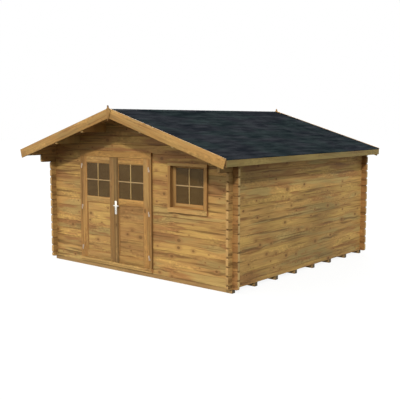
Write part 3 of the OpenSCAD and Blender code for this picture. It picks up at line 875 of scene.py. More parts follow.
def pick(piece: Piece, kind: Parts, test: Test) -> None:
    """Selects faces, edges or vertices in edit mode.

    Args:
        piece: The mesh that is edited.
        kind: What is selected.
        test: Says from a part's middle and its normal or direction whether it is selected.
    """
    bpy.ops.mesh.select_mode(type=kind.name)
    bpy.ops.mesh.select_all(action="DESELECT")
    mesh = bmesh.from_edit_mesh(piece.data)
    for part in getattr(mesh, kind.value):
        if test(*place_of(part)):
            part.select_set(True)
    mesh.select_flush_mode()
    bmesh.update_edit_mesh(piece.data)


def ease(piece: Piece, test: Test, width: float, segments: int = 1) -> None:
    """Bevels the edges of a piece that pass a test on their middle and direction, in edit mode."""
    pick(piece, Parts.EDGE, test)
    bpy.ops.mesh.bevel(offset=width, segments=segments, affect="EDGES")


def lift(height: float) -> None:
    """Raises what is selected in edit mode."""
    bpy.ops.transform.translate(value=(0.0, 0.0, height))


def turn_outwards() -> None:
    """Makes all faces of the mesh in edit mode point outwards."""
    bpy.ops.mesh.select_all(action="SELECT")
    bpy.ops.mesh.normals_make_consistent(inside=False)


def settle(piece: Piece) -> None:
    """Applies a piece's place, turn and scale to its mesh."""
    activate(piece)
    bpy.ops.object.transform_apply(location=True, rotation=True, scale=True)


def take(name: str, scale: Sequence[float] = (1.0, 1.0, 1.0)) -> Piece:
    """Takes up the primitive that was just added.

    Args:
        name: Name that it gets.
        scale: Size that it gets on its own axes.

    Returns:
        The new object, at the origin, with its place in its mesh.
    """
    piece = bpy.context.active_object
    piece.name = piece.data.name = name
    piece.scale = scale
    settle(piece)
    return piece


def block(name: str, low: Vector, high: Vector) -> Piece:
    """Adds a cube between two corners, as the start of a piece.

    Args:
        name: Name of the piece.
        low: Lowest corner.
        high: Highest corner.

    Returns:
        The new object.
    """
    clear_selection()
    bpy.ops.mesh.primitive_cube_add(size=1.0, location=(low + high) / 2)
    return take(name, high - low)


def soften(piece: Piece, width: float) -> Piece:
    """Rounds all edges of a piece.

    Args:
        piece: The piece.
        width: Width of the rounding.

    Returns:
        The piece.
    """
    with editing(piece):
        bpy.ops.mesh.bevel(offset=width, segments=2, affect="EDGES")
    return piece


def soft_block(name: str, low: Vector, high: Vector, width: float) -> Piece:
    """Adds a block with rounded edges and returns it."""
    return soften(block(name, low, high), width)


def framing(name: str, outer: Box, opening: Box, heights: Sequence[Pair],
            edge: float) -> tuple[list[Piece], list[Piece]]:
    """Makes the stiles and rails of an upright frame, with rounded edges.

    Args:
        name: Start of the pieces' names.
        outer: Corners of the frame.
        opening: Corners of what stands between the stiles.
        heights: Foot and top of each rail.
        edge: Rounding of the edges.

    Returns:
        The two stiles and the rails.
    """
    low, high = outer
    left, right = opening[0].x, opening[1].x
    stiles = [soft_block(f"{name}_stile_{index}", Vector((x0, low.y, low.z)),
                         Vector((x1, high.y, high.z)), edge)
              for index, (x0, x1) in enumerate(((low.x, left), (right, high.x)))]
    rails = [soft_block(f"{name}_rail_{index}", Vector((left, low.y, z0)), Vector((right, high.y, z1)), edge)
             for index, (z0, z1) in enumerate(heights)]
    return stiles, rails


def repeat(piece: Piece, count: int, step: Sequence[float]) -> Piece:
    """Repeats a piece in a row.

    Args:
        piece: The first of the row.
        count: Number in the row.
        step: From one to the next.

    Returns:
        The piece, which now holds the whole row.
    """
    activate(piece)
    row = piece.modifiers.new("Row", "ARRAY")
    row.count = count
    row.use_relative_offset = False
    row.use_constant_offset = True
    row.constant_offset_displace = step
    bpy.ops.object.modifier_apply(modifier=row.name)
    return piece


def join(name: str, pieces: Sequence[Piece]) -> Piece:
    """Joins pieces into one object.

    Args:
        name: Name of the joined piece.
        pieces: The pieces, which become one mesh.

    Returns:
        The joined object.
    """
    activate(pieces[0])
    for piece in pieces:
        piece.select_set(True)
    if len(pieces) > 1:
        bpy.ops.object.join()
    joined = bpy.context.active_object
    joined.name = joined.data.name = name
    return joined


def to_side(piece: Piece, side: Side) -> Piece:
    """Turns a piece of the right side over the cabin's middle where it belongs to the left.

    Args:
        piece: The piece, made for the right side.
        side: The side that it belongs to.

    Returns:
        The piece.
    """
    if side is Side.LEFT:
        piece.scale = (-1.0, 1.0, 1.0)
        settle(piece)
        with editing(piece):
            turn_outwards()
    return piece


def ring_moulding(name: str, low: Vector, high: Vector, width: float, round_edge: float) -> Piece:
    """Makes a moulding that runs round the inside of an upright rectangle.

    Args:
        name: Name of the piece.
        low: Lowest outer corner, at the moulding's face.
        high: Highest outer corner, at its back.
        width: Width of the moulding on its face.
        round_edge: Rounding of its edges.

    Returns:
        The new object.
    """
    clear_selection()
    middle = (low + high) / 2
    bpy.ops.mesh.primitive_plane_add(size=1.0, location=(middle.x, high.y, middle.z),
                                     rotation=(math.pi / 2, 0.0, 0.0))
    piece = take(name, (high.x - low.x, high.z - low.z, 1.0))
    with editing(piece):
        bpy.ops.mesh.inset(thickness=width)
        bpy.ops.mesh.delete(type="FACE")
        bpy.ops.mesh.select_all(action="SELECT")
        bpy.ops.mesh.extrude_region_move(TRANSFORM_OT_translate={"value": (0.0, low.y - high.y, 0.0)})
        turn_outwards()
        ease(piece, lambda at, way: abs(at.y - low.y) < NEAR and abs(way.y) < ACROSS, round_edge, 3)
    return piece


def dress(piece: Piece, material: Material) -> None:
    """Gives a piece one material all over.

    Args:
        piece: The piece.
        material: Its finish.
    """
    piece.data.materials.clear()
    piece.data.materials.append(material)
    for face in piece.data.polygons:
        face.material_index = 0


def add_piece(piece: Piece, material: Material, body: str,
              stands_for: Sequence[str] = ()) -> None:
    """Finishes a new piece and ties it to the frame.

    Args:
        piece: The modelled piece.
        material: Its finish.
        body: The body that it moves with.
        stands_for: CAD nodes that it takes the place of.
    """
    activate(piece)
    bpy.ops.object.shade_smooth_by_angle(angle=math.radians(SMOOTH_BELOW))
    dress(piece, material)
    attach(piece, body)
    if stands_for:
        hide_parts(*stands_for)
    log.info("%s: %d faces, on %s", piece.name, len(piece.data.polygons), body)


def dress_nodes(material: Material, *names: str) -> None:
    """Gives CAD nodes their finish.

    Args:
        material: The finish.
        names: The nodes.
    """
    for name in names:
        dress(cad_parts[name], material)
        log.info("%s: finish %s", name, material.name)


def corners(node: str) -> Box:
    """Returns the lowest and highest corner of a CAD node."""
    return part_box(node)


@dataclass(frozen=True)
class Palette:
    """The stains of the cabin's timbers."""

    wall: Stain = Stain(
        pale=(0.490, 0.287, 0.087), base=(0.428, 0.231, 0.075), ruddy=(0.314, 0.143, 0.050),
        moss=(0.400, 0.254, 0.089), end=(0.530, 0.338, 0.140), tip=(0.345, 0.169, 0.056))
    side: Stain = Stain(
        pale=(0.492, 0.298, 0.092), base=(0.418, 0.238, 0.078), ruddy=(0.318, 0.154, 0.052),
        moss=(0.368, 0.247, 0.090), end=(0.440, 0.255, 0.095), tip=(0.350, 0.199, 0.068))
    trim: Stain = Stain(
        pale=(0.397, 0.206, 0.064), base=(0.350, 0.173, 0.052), ruddy=(0.294, 0.133, 0.040),
        moss=(0.335, 0.187, 0.062), end=(0.33, 0.16, 0.06))
    head: Stain = Stain(
        pale=(0.468, 0.249, 0.073), base=(0.429, 0.218, 0.065), ruddy=(0.363, 0.174, 0.050),
        moss=(0.413, 0.230, 0.071), end=(0.33, 0.16, 0.06))
    sill: Stain = Stain(
        pale=(0.470, 0.270, 0.092), base=(0.430, 0.235, 0.080), ruddy=(0.370, 0.190, 0.060),
        moss=(0.410, 0.245, 0.085), end=(0.33, 0.16, 0.06))
    left_panel: Stain = Stain(
        pale=(0.456, 0.274, 0.085), base=(0.398, 0.220, 0.073), ruddy=(0.292, 0.136, 0.049),
        moss=(0.372, 0.242, 0.087))
    right_panel: Stain = Stain(
        pale=(0.370, 0.205, 0.064), base=(0.323, 0.166, 0.055), ruddy=(0.242, 0.108, 0.037),
        moss=(0.303, 0.178, 0.064))
    # A darker copy of the trim stain, as painted shade: the cover strip's shadow on the left meeting stile
    # and the casing's shadow on the sash stiles.
    meeting: Stain = Stain(
        pale=(0.350, 0.192, 0.064), base=(0.315, 0.164, 0.053), ruddy=(0.265, 0.127, 0.042),
        moss=(0.300, 0.176, 0.062), end=(0.33, 0.16, 0.06))
    strip: Stain = Stain(
        pale=(0.228, 0.129, 0.045), base=(0.198, 0.107, 0.036), ruddy=(0.167, 0.083, 0.027),
        moss=(0.188, 0.111, 0.040), end=(0.18, 0.10, 0.035))
    barge: Stain = Stain(
        pale=(0.450, 0.256, 0.085), base=(0.406, 0.216, 0.068), ruddy=(0.326, 0.154, 0.046),
        moss=(0.367, 0.220, 0.077), end=(0.21, 0.11, 0.04))
    finial: Stain = Stain(
        pale=(0.430, 0.250, 0.084), base=(0.380, 0.210, 0.068), ruddy=(0.300, 0.150, 0.046),
        moss=(0.340, 0.210, 0.075), end=(0.110, 0.070, 0.030))
    fascia: Stain = Stain(
        pale=(0.240, 0.170, 0.058), base=(0.215, 0.147, 0.049), ruddy=(0.180, 0.112, 0.038),
        moss=(0.198, 0.145, 0.051), end=(0.20, 0.11, 0.04))
    bearer: Stain = Stain(
        pale=(0.350, 0.210, 0.082), base=(0.315, 0.178, 0.068), ruddy=(0.240, 0.122, 0.045),
        moss=(0.285, 0.178, 0.072), end=(0.100, 0.070, 0.038))
    upright_bar: Stain = Stain(
        pale=(0.430, 0.285, 0.120), base=(0.400, 0.255, 0.105), ruddy=(0.350, 0.205, 0.076),
        moss=(0.385, 0.260, 0.110))
    level_bar: Stain = Stain(
        pale=(0.430, 0.285, 0.140), base=(0.400, 0.255, 0.122), ruddy=(0.350, 0.210, 0.095),
        moss=(0.390, 0.260, 0.125))


@dataclass
class Finishes:
    """All wood finishes of the cabin, each made once when it is first asked for."""

    palette: Palette
    timber: StainedTimber
    made: dict[str, Material] = field(default_factory=dict)

    def logs(self, name: str, grain: Grain, stain: Stain, boards: Pair, wash: float = 0.0,
             tips_from: Optional[Pair] = None) -> Material:
        """Finish of logs or boards that differ course by course, with their outer ends apart if given."""
        # Their joints take painted shade with some dirt.
        return self.keep(WoodFinish(
            name, grain, stain, boards, joint_grime=0.30, wash=wash, tips_from=tips_from))

    def planed(self, name: str, grain: Grain, stain: Stain, boards: Pair = ONE_PIECE, tilt: float = 0.0,
               side_grime: float = 0.0, joint_grime: float = 0.0) -> Material:
        """Finish of smooth, even wood with few knots.

        Args:
            name: Name of the finish.
            grain: Direction of the grain.
            stain: Its colours.
            boards: Where the pieces are counted from, across the grain, and the width of one.
            tilt: Slope of the pieces about Y.
            side_grime: How dark the faces across the grain are, as painted shade.
            joint_grime: How dark the joints between the pieces are, as painted shade with some dirt.

        Returns:
            The material.
        """
        return self.keep(WoodFinish(
            name, grain, stain, boards, knot_spacing=0.8, knot_chance=0.3, contrast=0.6,
            joint_grime=joint_grime, side_grime=side_grime, tilt=tilt, bump=0.2))

    def keep(self, finish: WoodFinish) -> Material:
        """Builds a wood finish, unless it is there already.

        Args:
            finish: The finish that is asked for.

        Returns:
            The material.
        """
        if finish.name not in self.made:
            self.made[finish.name] = finish.material(self.timber)
        return self.made[finish.name]


@dataclass
class LogWalls:
    """The four log walls and their gables."""

    finishes: Finishes
    base_z: float
    course: float
    back_wash: float = 0.6
    side_wash: float = 1.3

    def courses(self, *walls: str) -> list[str]:
        """Returns the nodes of walls, whose odd and even courses are apart."""
        return [f"{wall}_{parity}_logs" for wall in walls for parity in ("odd", "even")]

    def dress(self) -> None:
        """Gives each wall its own run of logs."""
        shades = self.finishes.palette
        low, high = corners("floor_bearers")
        middle, reach = (low + high) / 2, (high - low) / 2
        across, deep = (middle.x, reach.x), (middle.y, reach.y)
        half = self.base_z - self.course / 2
        front = ["front_sill_log"] + self.courses("front_left", "front_right", "front_gable")
        for name, grain, stain, start, wash, tips_from, nodes in (
                ("front", Grain.ACROSS_CABIN, shades.wall, self.base_z, 0.0, across, front),
                ("back", Grain.ACROSS_CABIN, shades.wall, self.base_z, self.back_wash, across,
                 self.courses("back_wall")),
                ("left", Grain.FRONT_TO_BACK, shades.side, half, self.side_wash, deep,
                 self.courses("left_wall")),
                ("right", Grain.FRONT_TO_BACK, shades.side, half, self.side_wash, deep,
                 self.courses("right_wall"))):
            dress_nodes(self.finishes.logs(
                f"{name}_logs", grain, stain, (start, self.course), wash, tips_from), *nodes)


@dataclass
class FloorBase:
    """The bearers and the boarded floor."""

    finishes: Finishes
    board_gap: float = 0.0006
    board_aim: float = 0.096
    edge: float = 0.002

    def build(self) -> None:
        """Lays the floor boards from front to back."""
        low, high = corners("floor_deck")
        count = round((high.x - low.x) / self.board_aim)
        width = (high.x - low.x) / count
        boards = block("floor_boards", low, Vector((low.x + width - self.board_gap, high.y, high.z)))
        with editing(boards):
            ease(boards, lambda at, way: at.z > high.z - NEAR and abs(way.y) > ALONG, self.edge)
        repeat(boards, count, (width, 0.0, 0.0))
        finish = self.finishes.logs(
            "floor_wood", Grain.FLAT_FRONT_TO_BACK, self.finishes.palette.wall, (low.x, width))
        add_piece(boards, finish, CABIN, ("floor_deck",))

    def dress(self) -> None:
        """Finishes the bearers as beams with the planed finish."""
        dress_nodes(self.finishes.planed(
            "bearer_wood", Grain.ACROSS_CABIN, self.finishes.palette.bearer), "floor_bearers")


@dataclass
class Roof:
    """Purlins, roof boards, shingles, ridge capping, barge boards, finials and fascias.

    The finial's outline gives heights over the barge boards' apex, each with half the width there.
    """

    finishes: Finishes
    grit: Granules
    course: float = 0.14
    tab: float = 0.333
    slot: float = 0.006
    shingle_t: float = 0.003
    sheet_t: float = 0.0015
    board_aim: float = 0.09
    board_v: float = 0.003
    cap_aim: float = 0.15
    cap_lap: float = 0.0015
    cap_t: float = 0.0024
    upstand_t: float = 0.0025
    upstand_h: float = 0.0175
    upstand_stop: float = 0.016
    barge_rise: float = 0.011
    barge_edge: float = 0.002
    purlin_run: Pair = (-4.0, 0.25)
    finial_rows: int = 28
    finial_edge: float = 0.014
    finial_least: float = 0.001
    finial_share: float = 0.3
    finial_outline: tuple[Pair, ...] = (
        (-0.206, 0.001), (-0.165, 0.016), (-0.070, 0.049), (-0.037, 0.062), (-0.026, 0.046), (-0.012, 0.031),
        (0.0, 0.022), (0.014, 0.016), (0.041, 0.009))

    def __post_init__(self) -> None:
        """Works out the roof's slope from the frame."""
        low, high = corners("right_roof_covering")
        self.y0, self.y1 = low.y, high.y
        self.eaves_x = high.x
        self.deck_x = corners("right_roof_deck")[1].x
        self.deck_v = self.upright_t("right_roof_deck")
        self.deck_top = high.z - self.upright_t("right_roof_covering")
        self.slope = (self.deck_top - low.z) / self.eaves_x
        self.pitch = math.atan(self.slope)
        self.ridge_gap = self.pitch * (high.z - self.deck_top)
        self.length = self.eaves_x / math.cos(self.pitch)

    def upright_t(self, node: str) -> float:
        """Returns the upright thickness of a roof layer, measured at the ridge."""
        at_ridge = [v.co.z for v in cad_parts[node].data.vertices if abs(v.co.x) < LOOSE]
        return max(at_ridge) - min(at_ridge)

    def share(self, aim: float) -> tuple[int, float]:
        """Parts the roof's depth evenly and returns the number of parts and the width of one."""
        count = round((self.y1 - self.y0) / aim)
        return count, (self.y1 - self.y0) / count

    def lay(self, piece: Piece, top: float) -> None:
        """Turns a flat piece down the right slope.

        Args:
            piece: The piece, flat, from the cabin's middle to the right.
            top: Height of its start at the ridge.
        """
        piece.rotation_euler = (0.0, self.pitch, 0.0)
        piece.location = (0.0, 0.0, top)
        settle(piece)

    def build(self) -> None:
        """Builds the boards, the shingles, the ridge capping, the barge boards and the finials."""
        shingle = ShingleFinish("shingles", self.course, self.tab, math.cos(self.pitch)).material(self.grit)
        for side in Side:
            self.build_boards(side)
        for side in Side:
            rows = to_side(self.shingle_rows(f"{side.value}_shingles"), side)
            add_piece(rows, shingle, CABIN, (f"{side.value}_roof_covering",))
        self.build_cap(shingle)
        for end, way in (("front", -1.0), ("rear", 1.0)):
            for side in Side:
                self.build_barge(end, side)
            self.build_finial(end, way)

    def build_barge(self, end: str, side: Side) -> None:
        """Saws a barge board that stands above the shingles, with a plumb cut at the ridge.

        Args:
            end: Which gable it belongs to.
            side: Which slope it follows.
        """
        node = f"{end}_{side.value}_barge"
        low, high = corners(node)
        height = (self.upright_t(node) + self.barge_rise) * math.cos(self.pitch)
        board = block(node + "_board", Vector((-height, low.y, -height)), Vector((self.length, high.y, 0.0)))
        self.lay(board, high.z + self.barge_rise)
        with editing(board):
            bpy.ops.mesh.bisect(
                plane_co=(0.0, 0.0, 0.0), plane_no=(1.0, 0.0, 0.0), use_fill=True, clear_inner=True)
        to_side(soften(board, self.barge_edge), side)
        wood = self.finishes.planed(
            f"{side.value}_barge_wood", Grain.ACROSS_CABIN, self.finishes.palette.barge,
            tilt=-self.pitch * side.sign)
        add_piece(board, wood, CABIN, (node,))

    def half_width(self, outline: Sequence[Pair], z: float) -> float:
        """Reads half the width of an upright outline at one height.

        Args:
            outline: Heights and half widths, from low to high.
            z: The height that is asked for.

        Returns:
            The half width, on the line between the neighbouring heights.
        """
        for (z0, w0), (z1, w1) in zip(outline, outline[1:]):
            if z0 <= z <= z1:
                return w0 + (w1 - w0) * (z - z0) / (z1 - z0)
        return outline[-1][1] if z > outline[-1][0] else outline[0][1]

    def build_finial(self, end: str, way: float) -> None:
        """Shapes a pointed finial board with eased edges on its outer face.

        Args:
            end: Which gable it belongs to.
            way: Sign of Y towards the outside.
        """
        node = f"{end}_finial"
        low, high = corners(node)
        apex = corners(f"{end}_right_barge")[1].z + self.barge_rise
        outline = [(apex + z, half) for z, half in self.finial_outline]
        foot = max(outline[0][0], low.z - self.finial_edge)
        outline[0] = (foot, outline[0][1])
        outline[-1] = (high.z, outline[-1][1])
        rise = high.z - foot
        back, outer = (low.y, high.y) if way > 0 else (high.y, low.y)
        clear_selection()
        bpy.ops.mesh.primitive_grid_add(
            x_subdivisions=1, y_subdivisions=self.finial_rows, size=2.0,
            location=(0.0, back, foot + rise / 2), rotation=(math.pi / 2, 0.0, 0.0))
        board = take(f"{end}_finial_board", (1.0, rise / 2, 1.0))
        with editing(board):
            for depth in (abs(outer - back) - self.finial_edge, self.finial_edge):
                bpy.ops.mesh.extrude_region_move(TRANSFORM_OT_translate={"value": (0.0, way * depth, 0.0)})
            for row in range(self.finial_rows + 1):
                z = foot + rise * row / self.finial_rows
                half = max(self.half_width(outline, z), self.finial_least)
                eased = max(half - self.finial_edge, half * self.finial_share) / half
                pick(board, Parts.VERT, lambda at, _: abs(at.z - z) < LOOSE)
                bpy.ops.transform.resize(value=(half, 1.0, 1.0), center_override=(0.0, back, z))
                pick(board, Parts.VERT,
                     lambda at, _: abs(at.z - z) < LOOSE and abs(at.y - outer) < LOOSE)
                bpy.ops.transform.resize(value=(eased, 1.0, 1.0), center_override=(0.0, outer, z))
            turn_outwards()
        # Its faces across the grain are darkened as painted shade.
        wood = self.finishes.planed(
            "finial_wood", Grain.UPRIGHT, self.finishes.palette.finial, side_grime=1.0)
        add_piece(board, wood, CABIN, (node,))

    def build_boards(self, side: Side) -> None:
        """Lays roof boards down one slope, with a V joint on the underside.

        Args:
            side: Which slope.
        """
        name = f"{side.value}_roof_boards"
        count, width = self.share(self.board_aim)
        foot = self.deck_top - self.deck_v
        boards = block(name, Vector((0.0, self.y0, foot)),
                       Vector((self.deck_x, self.y0 + width, self.deck_top)))
        with editing(boards):
            ease(boards, lambda at, way: at.z < foot + NEAR and abs(way.x) > ALONG, self.board_v)
            pick(boards, Parts.FACE, lambda at, normal: normal.x > ALONG)
            lift(-self.slope * self.deck_x)
        to_side(repeat(boards, count, (0.0, width, 0.0)), side)
        finish = self.finishes.logs(
            name + "_wood", Grain.DOWN_SLOPE, self.finishes.palette.wall, (self.y0, width))
        add_piece(boards, finish, CABIN, (f"{side.value}_roof_deck",))

    def shingle_rows(self, name: str) -> Piece:
        """Lays rows of square tabs from the eaves to the ridge of the right slope.

        Args:
            name: Name of the piece.

        Returns:
            The joined shingles and the sheet under them, which turns up beside the barge boards.
        """
        length = self.length - (self.sheet_t + 2 * self.shingle_t) * self.slope
        rows = round(length / self.course)
        step = length / rows
        tabs, width = self.share(self.tab)
        pieces = [self.sheet(name + "_under", length)]
        ridge = corners("ridge_cap")[1].x / math.cos(self.pitch)
        for left in (self.y0, self.y1 - self.upstand_t):
            pieces.append(block(name + "_upstand", Vector((ridge, left, 0.0)), Vector(
                (length - self.upstand_stop, left + self.upstand_t, self.upstand_h))))
        for odd in (0, 1):
            left = self.y0 + odd * width / 2
            ends = [repeat(self.one_tab(name + "_tab", step, left, width), tabs - odd, (0.0, width, 0.0))]
            if odd:
                ends += [self.one_tab(name + "_half", step, at, width / 2)
                         for at in (self.y0, self.y1 - width / 2)]
            row = join(name + "_row", ends)
            row.location = (step * odd, 0.0, 0.0)
            settle(row)
            pieces.append(repeat(row, (rows + 1 - odd) // 2, (2 * step, 0.0, 0.0)))
        made = join(name, pieces)
        self.lay(made, self.deck_top)
        return made

    def sheet(self, name: str, length: float) -> Piece:
        """Makes the underlay, flat from the ridge down the slope, with an eased eaves edge.

        Args:
            name: Name of the piece.
            length: Length down the slope.

        Returns:
            The new object.
        """
        made = block(name, Vector((self.ridge_gap, self.y0, 0.0)), Vector((length, self.y1, self.sheet_t)))
        with editing(made):
            ease(made, lambda at, way: at.x > length - NEAR and at.z > self.sheet_t - NEAR, self.sheet_t / 2)
        return made

    def one_tab(self, name: str, step: float, left: float, width: float) -> Piece:
        """Makes one tab with clipped lower corners, a little steeper than the slope.

        Args:
            name: Name of the piece.
            step: Exposed length of a row.
            left: Start along the ridge.
            width: Width along the ridge, with the slot beside the tab.

        Returns:
            The tab, flat on the slope, in the row nearest the ridge.
        """
        gap = self.slot / 2
        tab = block(name, Vector((0.0, left + gap, self.sheet_t)),
                    Vector((step, left + width - gap, self.sheet_t + self.shingle_t)))
        with editing(tab):
            ease(tab, lambda at, way: at.x > step - NEAR and abs(way.z) > ALONG, self.slot)
            pick(tab, Parts.FACE, lambda at, normal: normal.x > ACROSS)
            lift(self.shingle_t)
        return tab

    def build_cap(self, finish: Material) -> None:
        """Lays folded capping pieces along the ridge, each lapped by the next.

        Args:
            finish: Finish of the shingles.
        """
        low, high = corners("ridge_cap")
        count, step = self.share(self.cap_aim)
        rise = self.slope * high.x
        clear_selection()
        bpy.ops.mesh.primitive_grid_add(
            x_subdivisions=2, y_subdivisions=1, size=1.0,
            location=(0.0, low.y + step / 2, high.z - rise - self.shingle_t))
        cap = take("ridge_capping", (2 * high.x, step, 1.0))
        with editing(cap):
            pick(cap, Parts.EDGE, lambda at, way: abs(at.x) < NEAR and abs(way.y) > ALONG)
            lift(rise)
            pick(cap, Parts.EDGE, lambda at, way: at.y < low.y + NEAR)
            lift(self.cap_lap)
        thick = cap.modifiers.new("Thickness", "SOLIDIFY")
        thick.thickness = self.cap_t
        thick.offset = -1.0
        activate(cap)
        bpy.ops.object.modifier_apply(modifier=thick.name)
        repeat(cap, count, (0.0, step, 0.0))
        add_piece(cap, finish, CABIN, ("ridge_cap",))

    def dress(self) -> None:
        """Finishes the purlins and fascias."""
        shades = self.finishes.palette
        dress_nodes(self.finishes.planed(
            "purlin_wood", Grain.FLAT_FRONT_TO_BACK, shades.wall, self.purlin_run),
            "ridge_purlin", "left_purlins", "right_purlins")
        for side in Side:
            dress_nodes(self.finishes.planed(
                f"{side.value}_fascia_wood", Grain.FRONT_TO_BACK, shades.fascia), f"{side.value}_fascia")


@dataclass
class Glazing:
    """Glazing bars and beads on one pane of glass."""

    finishes: Finishes
    name: str
    glass: str
    body: str
    front_y: float
    back_y: float
    bar_w: float = 0.018
    bar_t: float = 0.012
    bead_w: float = 0.006
    back_bead_w: float = 0.012
    edge: float = 0.002

    def build(self) -> None:
        """Adds an upright bar, level bars and beads, on both faces of the glass."""
        low, high = corners(self.glass)
        middle = (low + high) / 2
        half = self.bar_w / 2
        front = max(self.front_y, low.y - self.bar_t)
        back = min(self.back_y, high.y + self.bar_t)
        upright, level = [], []
        for index, (near, far) in enumerate(((front, low.y), (high.y, back))):
            upright.append(soft_block(f"{self.name}_upright_{index}", Vector((middle.x - half, near, low.z)),
                                      Vector((middle.x + half, far, high.z)), self.edge))
            level += [soft_block(f"{self.name}_level_{index}", Vector((x0, near, middle.z - half)),
                                 Vector((x1, far, middle.z + half)), self.edge)
                      for x0, x1 in ((low.x, middle.x - half), (middle.x + half, high.x))]
        beads = [ring_moulding(f"{self.name}_bead", Vector((low.x, face, low.z)),
                               Vector((high.x, seat, high.z)), width, self.edge)
                 for face, seat, width in (((front + low.y) / 2, low.y, self.bead_w),
                                           (back, high.y, self.back_bead_w))]
        shades = self.finishes.palette
        for part, pieces, grain, stain in (
                ("upright_bar", upright, Grain.UPRIGHT, shades.upright_bar),
                ("level_bar", level, Grain.ACROSS_CABIN, shades.level_bar),
                ("bead", beads, Grain.ACROSS_CABIN, shades.trim)):
            wood = self.finishes.planed(f"{part}_wood", grain, stain)
            add_piece(join(f"{self.name}_{part}s", pieces), wood, self.body)


@dataclass
class DoorLeaf:
    """One leaf of the double door."""

    finishes: Finishes
    side: Side
    edge: float = 0.003
    mould_w: float = 0.014
    mould_d: float = 0.010
    mould_edge: float = 0.005
    panel_boards: int = 6
    stile_run: Pair = (-2.05, 0.31)
    rail_run: Pair = (0.0, 0.3)

    @property
    def body(self) -> str:
        """Body that the leaf moves with."""
        return f"{self.side.value}_door"

    def node(self, part: str) -> str:
        """Returns the name of one of the leaf's CAD nodes or pieces."""
        return f"{self.body}_{part}"

    def build(self) -> None:
        """Builds the leaf's framing with eased edges, its glazing and its panel moulding."""
        leaf, glass, panel = (corners(self.node(part)) for part in ("stiles", "glass", "panel"))
        heights = ((leaf[0].z, panel[0].z), (panel[1].z, glass[0].z), (glass[1].z, leaf[1].z))
        stiles, rails = framing(self.body, leaf, glass, heights, self.edge)
        shades = self.finishes.palette
        left = self.side is Side.LEFT
        hung = self.finishes.planed("stile_wood", Grain.UPRIGHT, shades.trim, self.stile_run)
        # The left leaf's meeting stile takes the darker meeting stain, which paints the cover strip's
        # shadow.
        meeting = self.finishes.planed(
            self.node("meeting_stile_wood"), Grain.UPRIGHT, shades.meeting if left else shades.trim)
        for stile, wood in zip(stiles, (hung, meeting) if left else (meeting, hung)):
            add_piece(stile, wood, self.body, (self.node("stiles"),))
        rail_wood = self.finishes.planed(
            self.node("rail_wood"), Grain.ACROSS_CABIN, shades.sill if left else shades.head, self.rail_run)
        add_piece(join(self.node("rail_set"), rails), rail_wood, self.body,
                  (self.node("rails"),))
        low, high = panel
        mould = ring_moulding(
            self.node("panel_moulding"), Vector((low.x, low.y - self.mould_d, low.z)),
            Vector((high.x, low.y, high.z)), self.mould_w, self.mould_edge)
        add_piece(mould, self.finishes.planed("mould_wood", Grain.ACROSS_CABIN, shades.trim), self.body)
        Glazing(self.finishes, self.node("glazing"), self.node("glass"), self.body,
                leaf[0].y, leaf[1].y).build()

    def dress(self, glass: Material, metal: Material) -> None:
        """Finishes the CAD nodes that stay.

        Args:
            glass: Finish of the pane.
            metal: Finish of the hinges.
        """
        low, high = corners(self.node("panel"))
        shades = self.finishes.palette
        stain = shades.left_panel if self.side is Side.LEFT else shades.right_panel
        boards = (low.z, (high.z - low.z) / self.panel_boards)
        panel = self.finishes.logs(self.node("panel_wood"), Grain.ACROSS_CABIN, stain, boards)
        for part, finish in (("panel", panel), ("glass", glass), ("hinges", metal)):
            dress_nodes(finish, self.node(part))


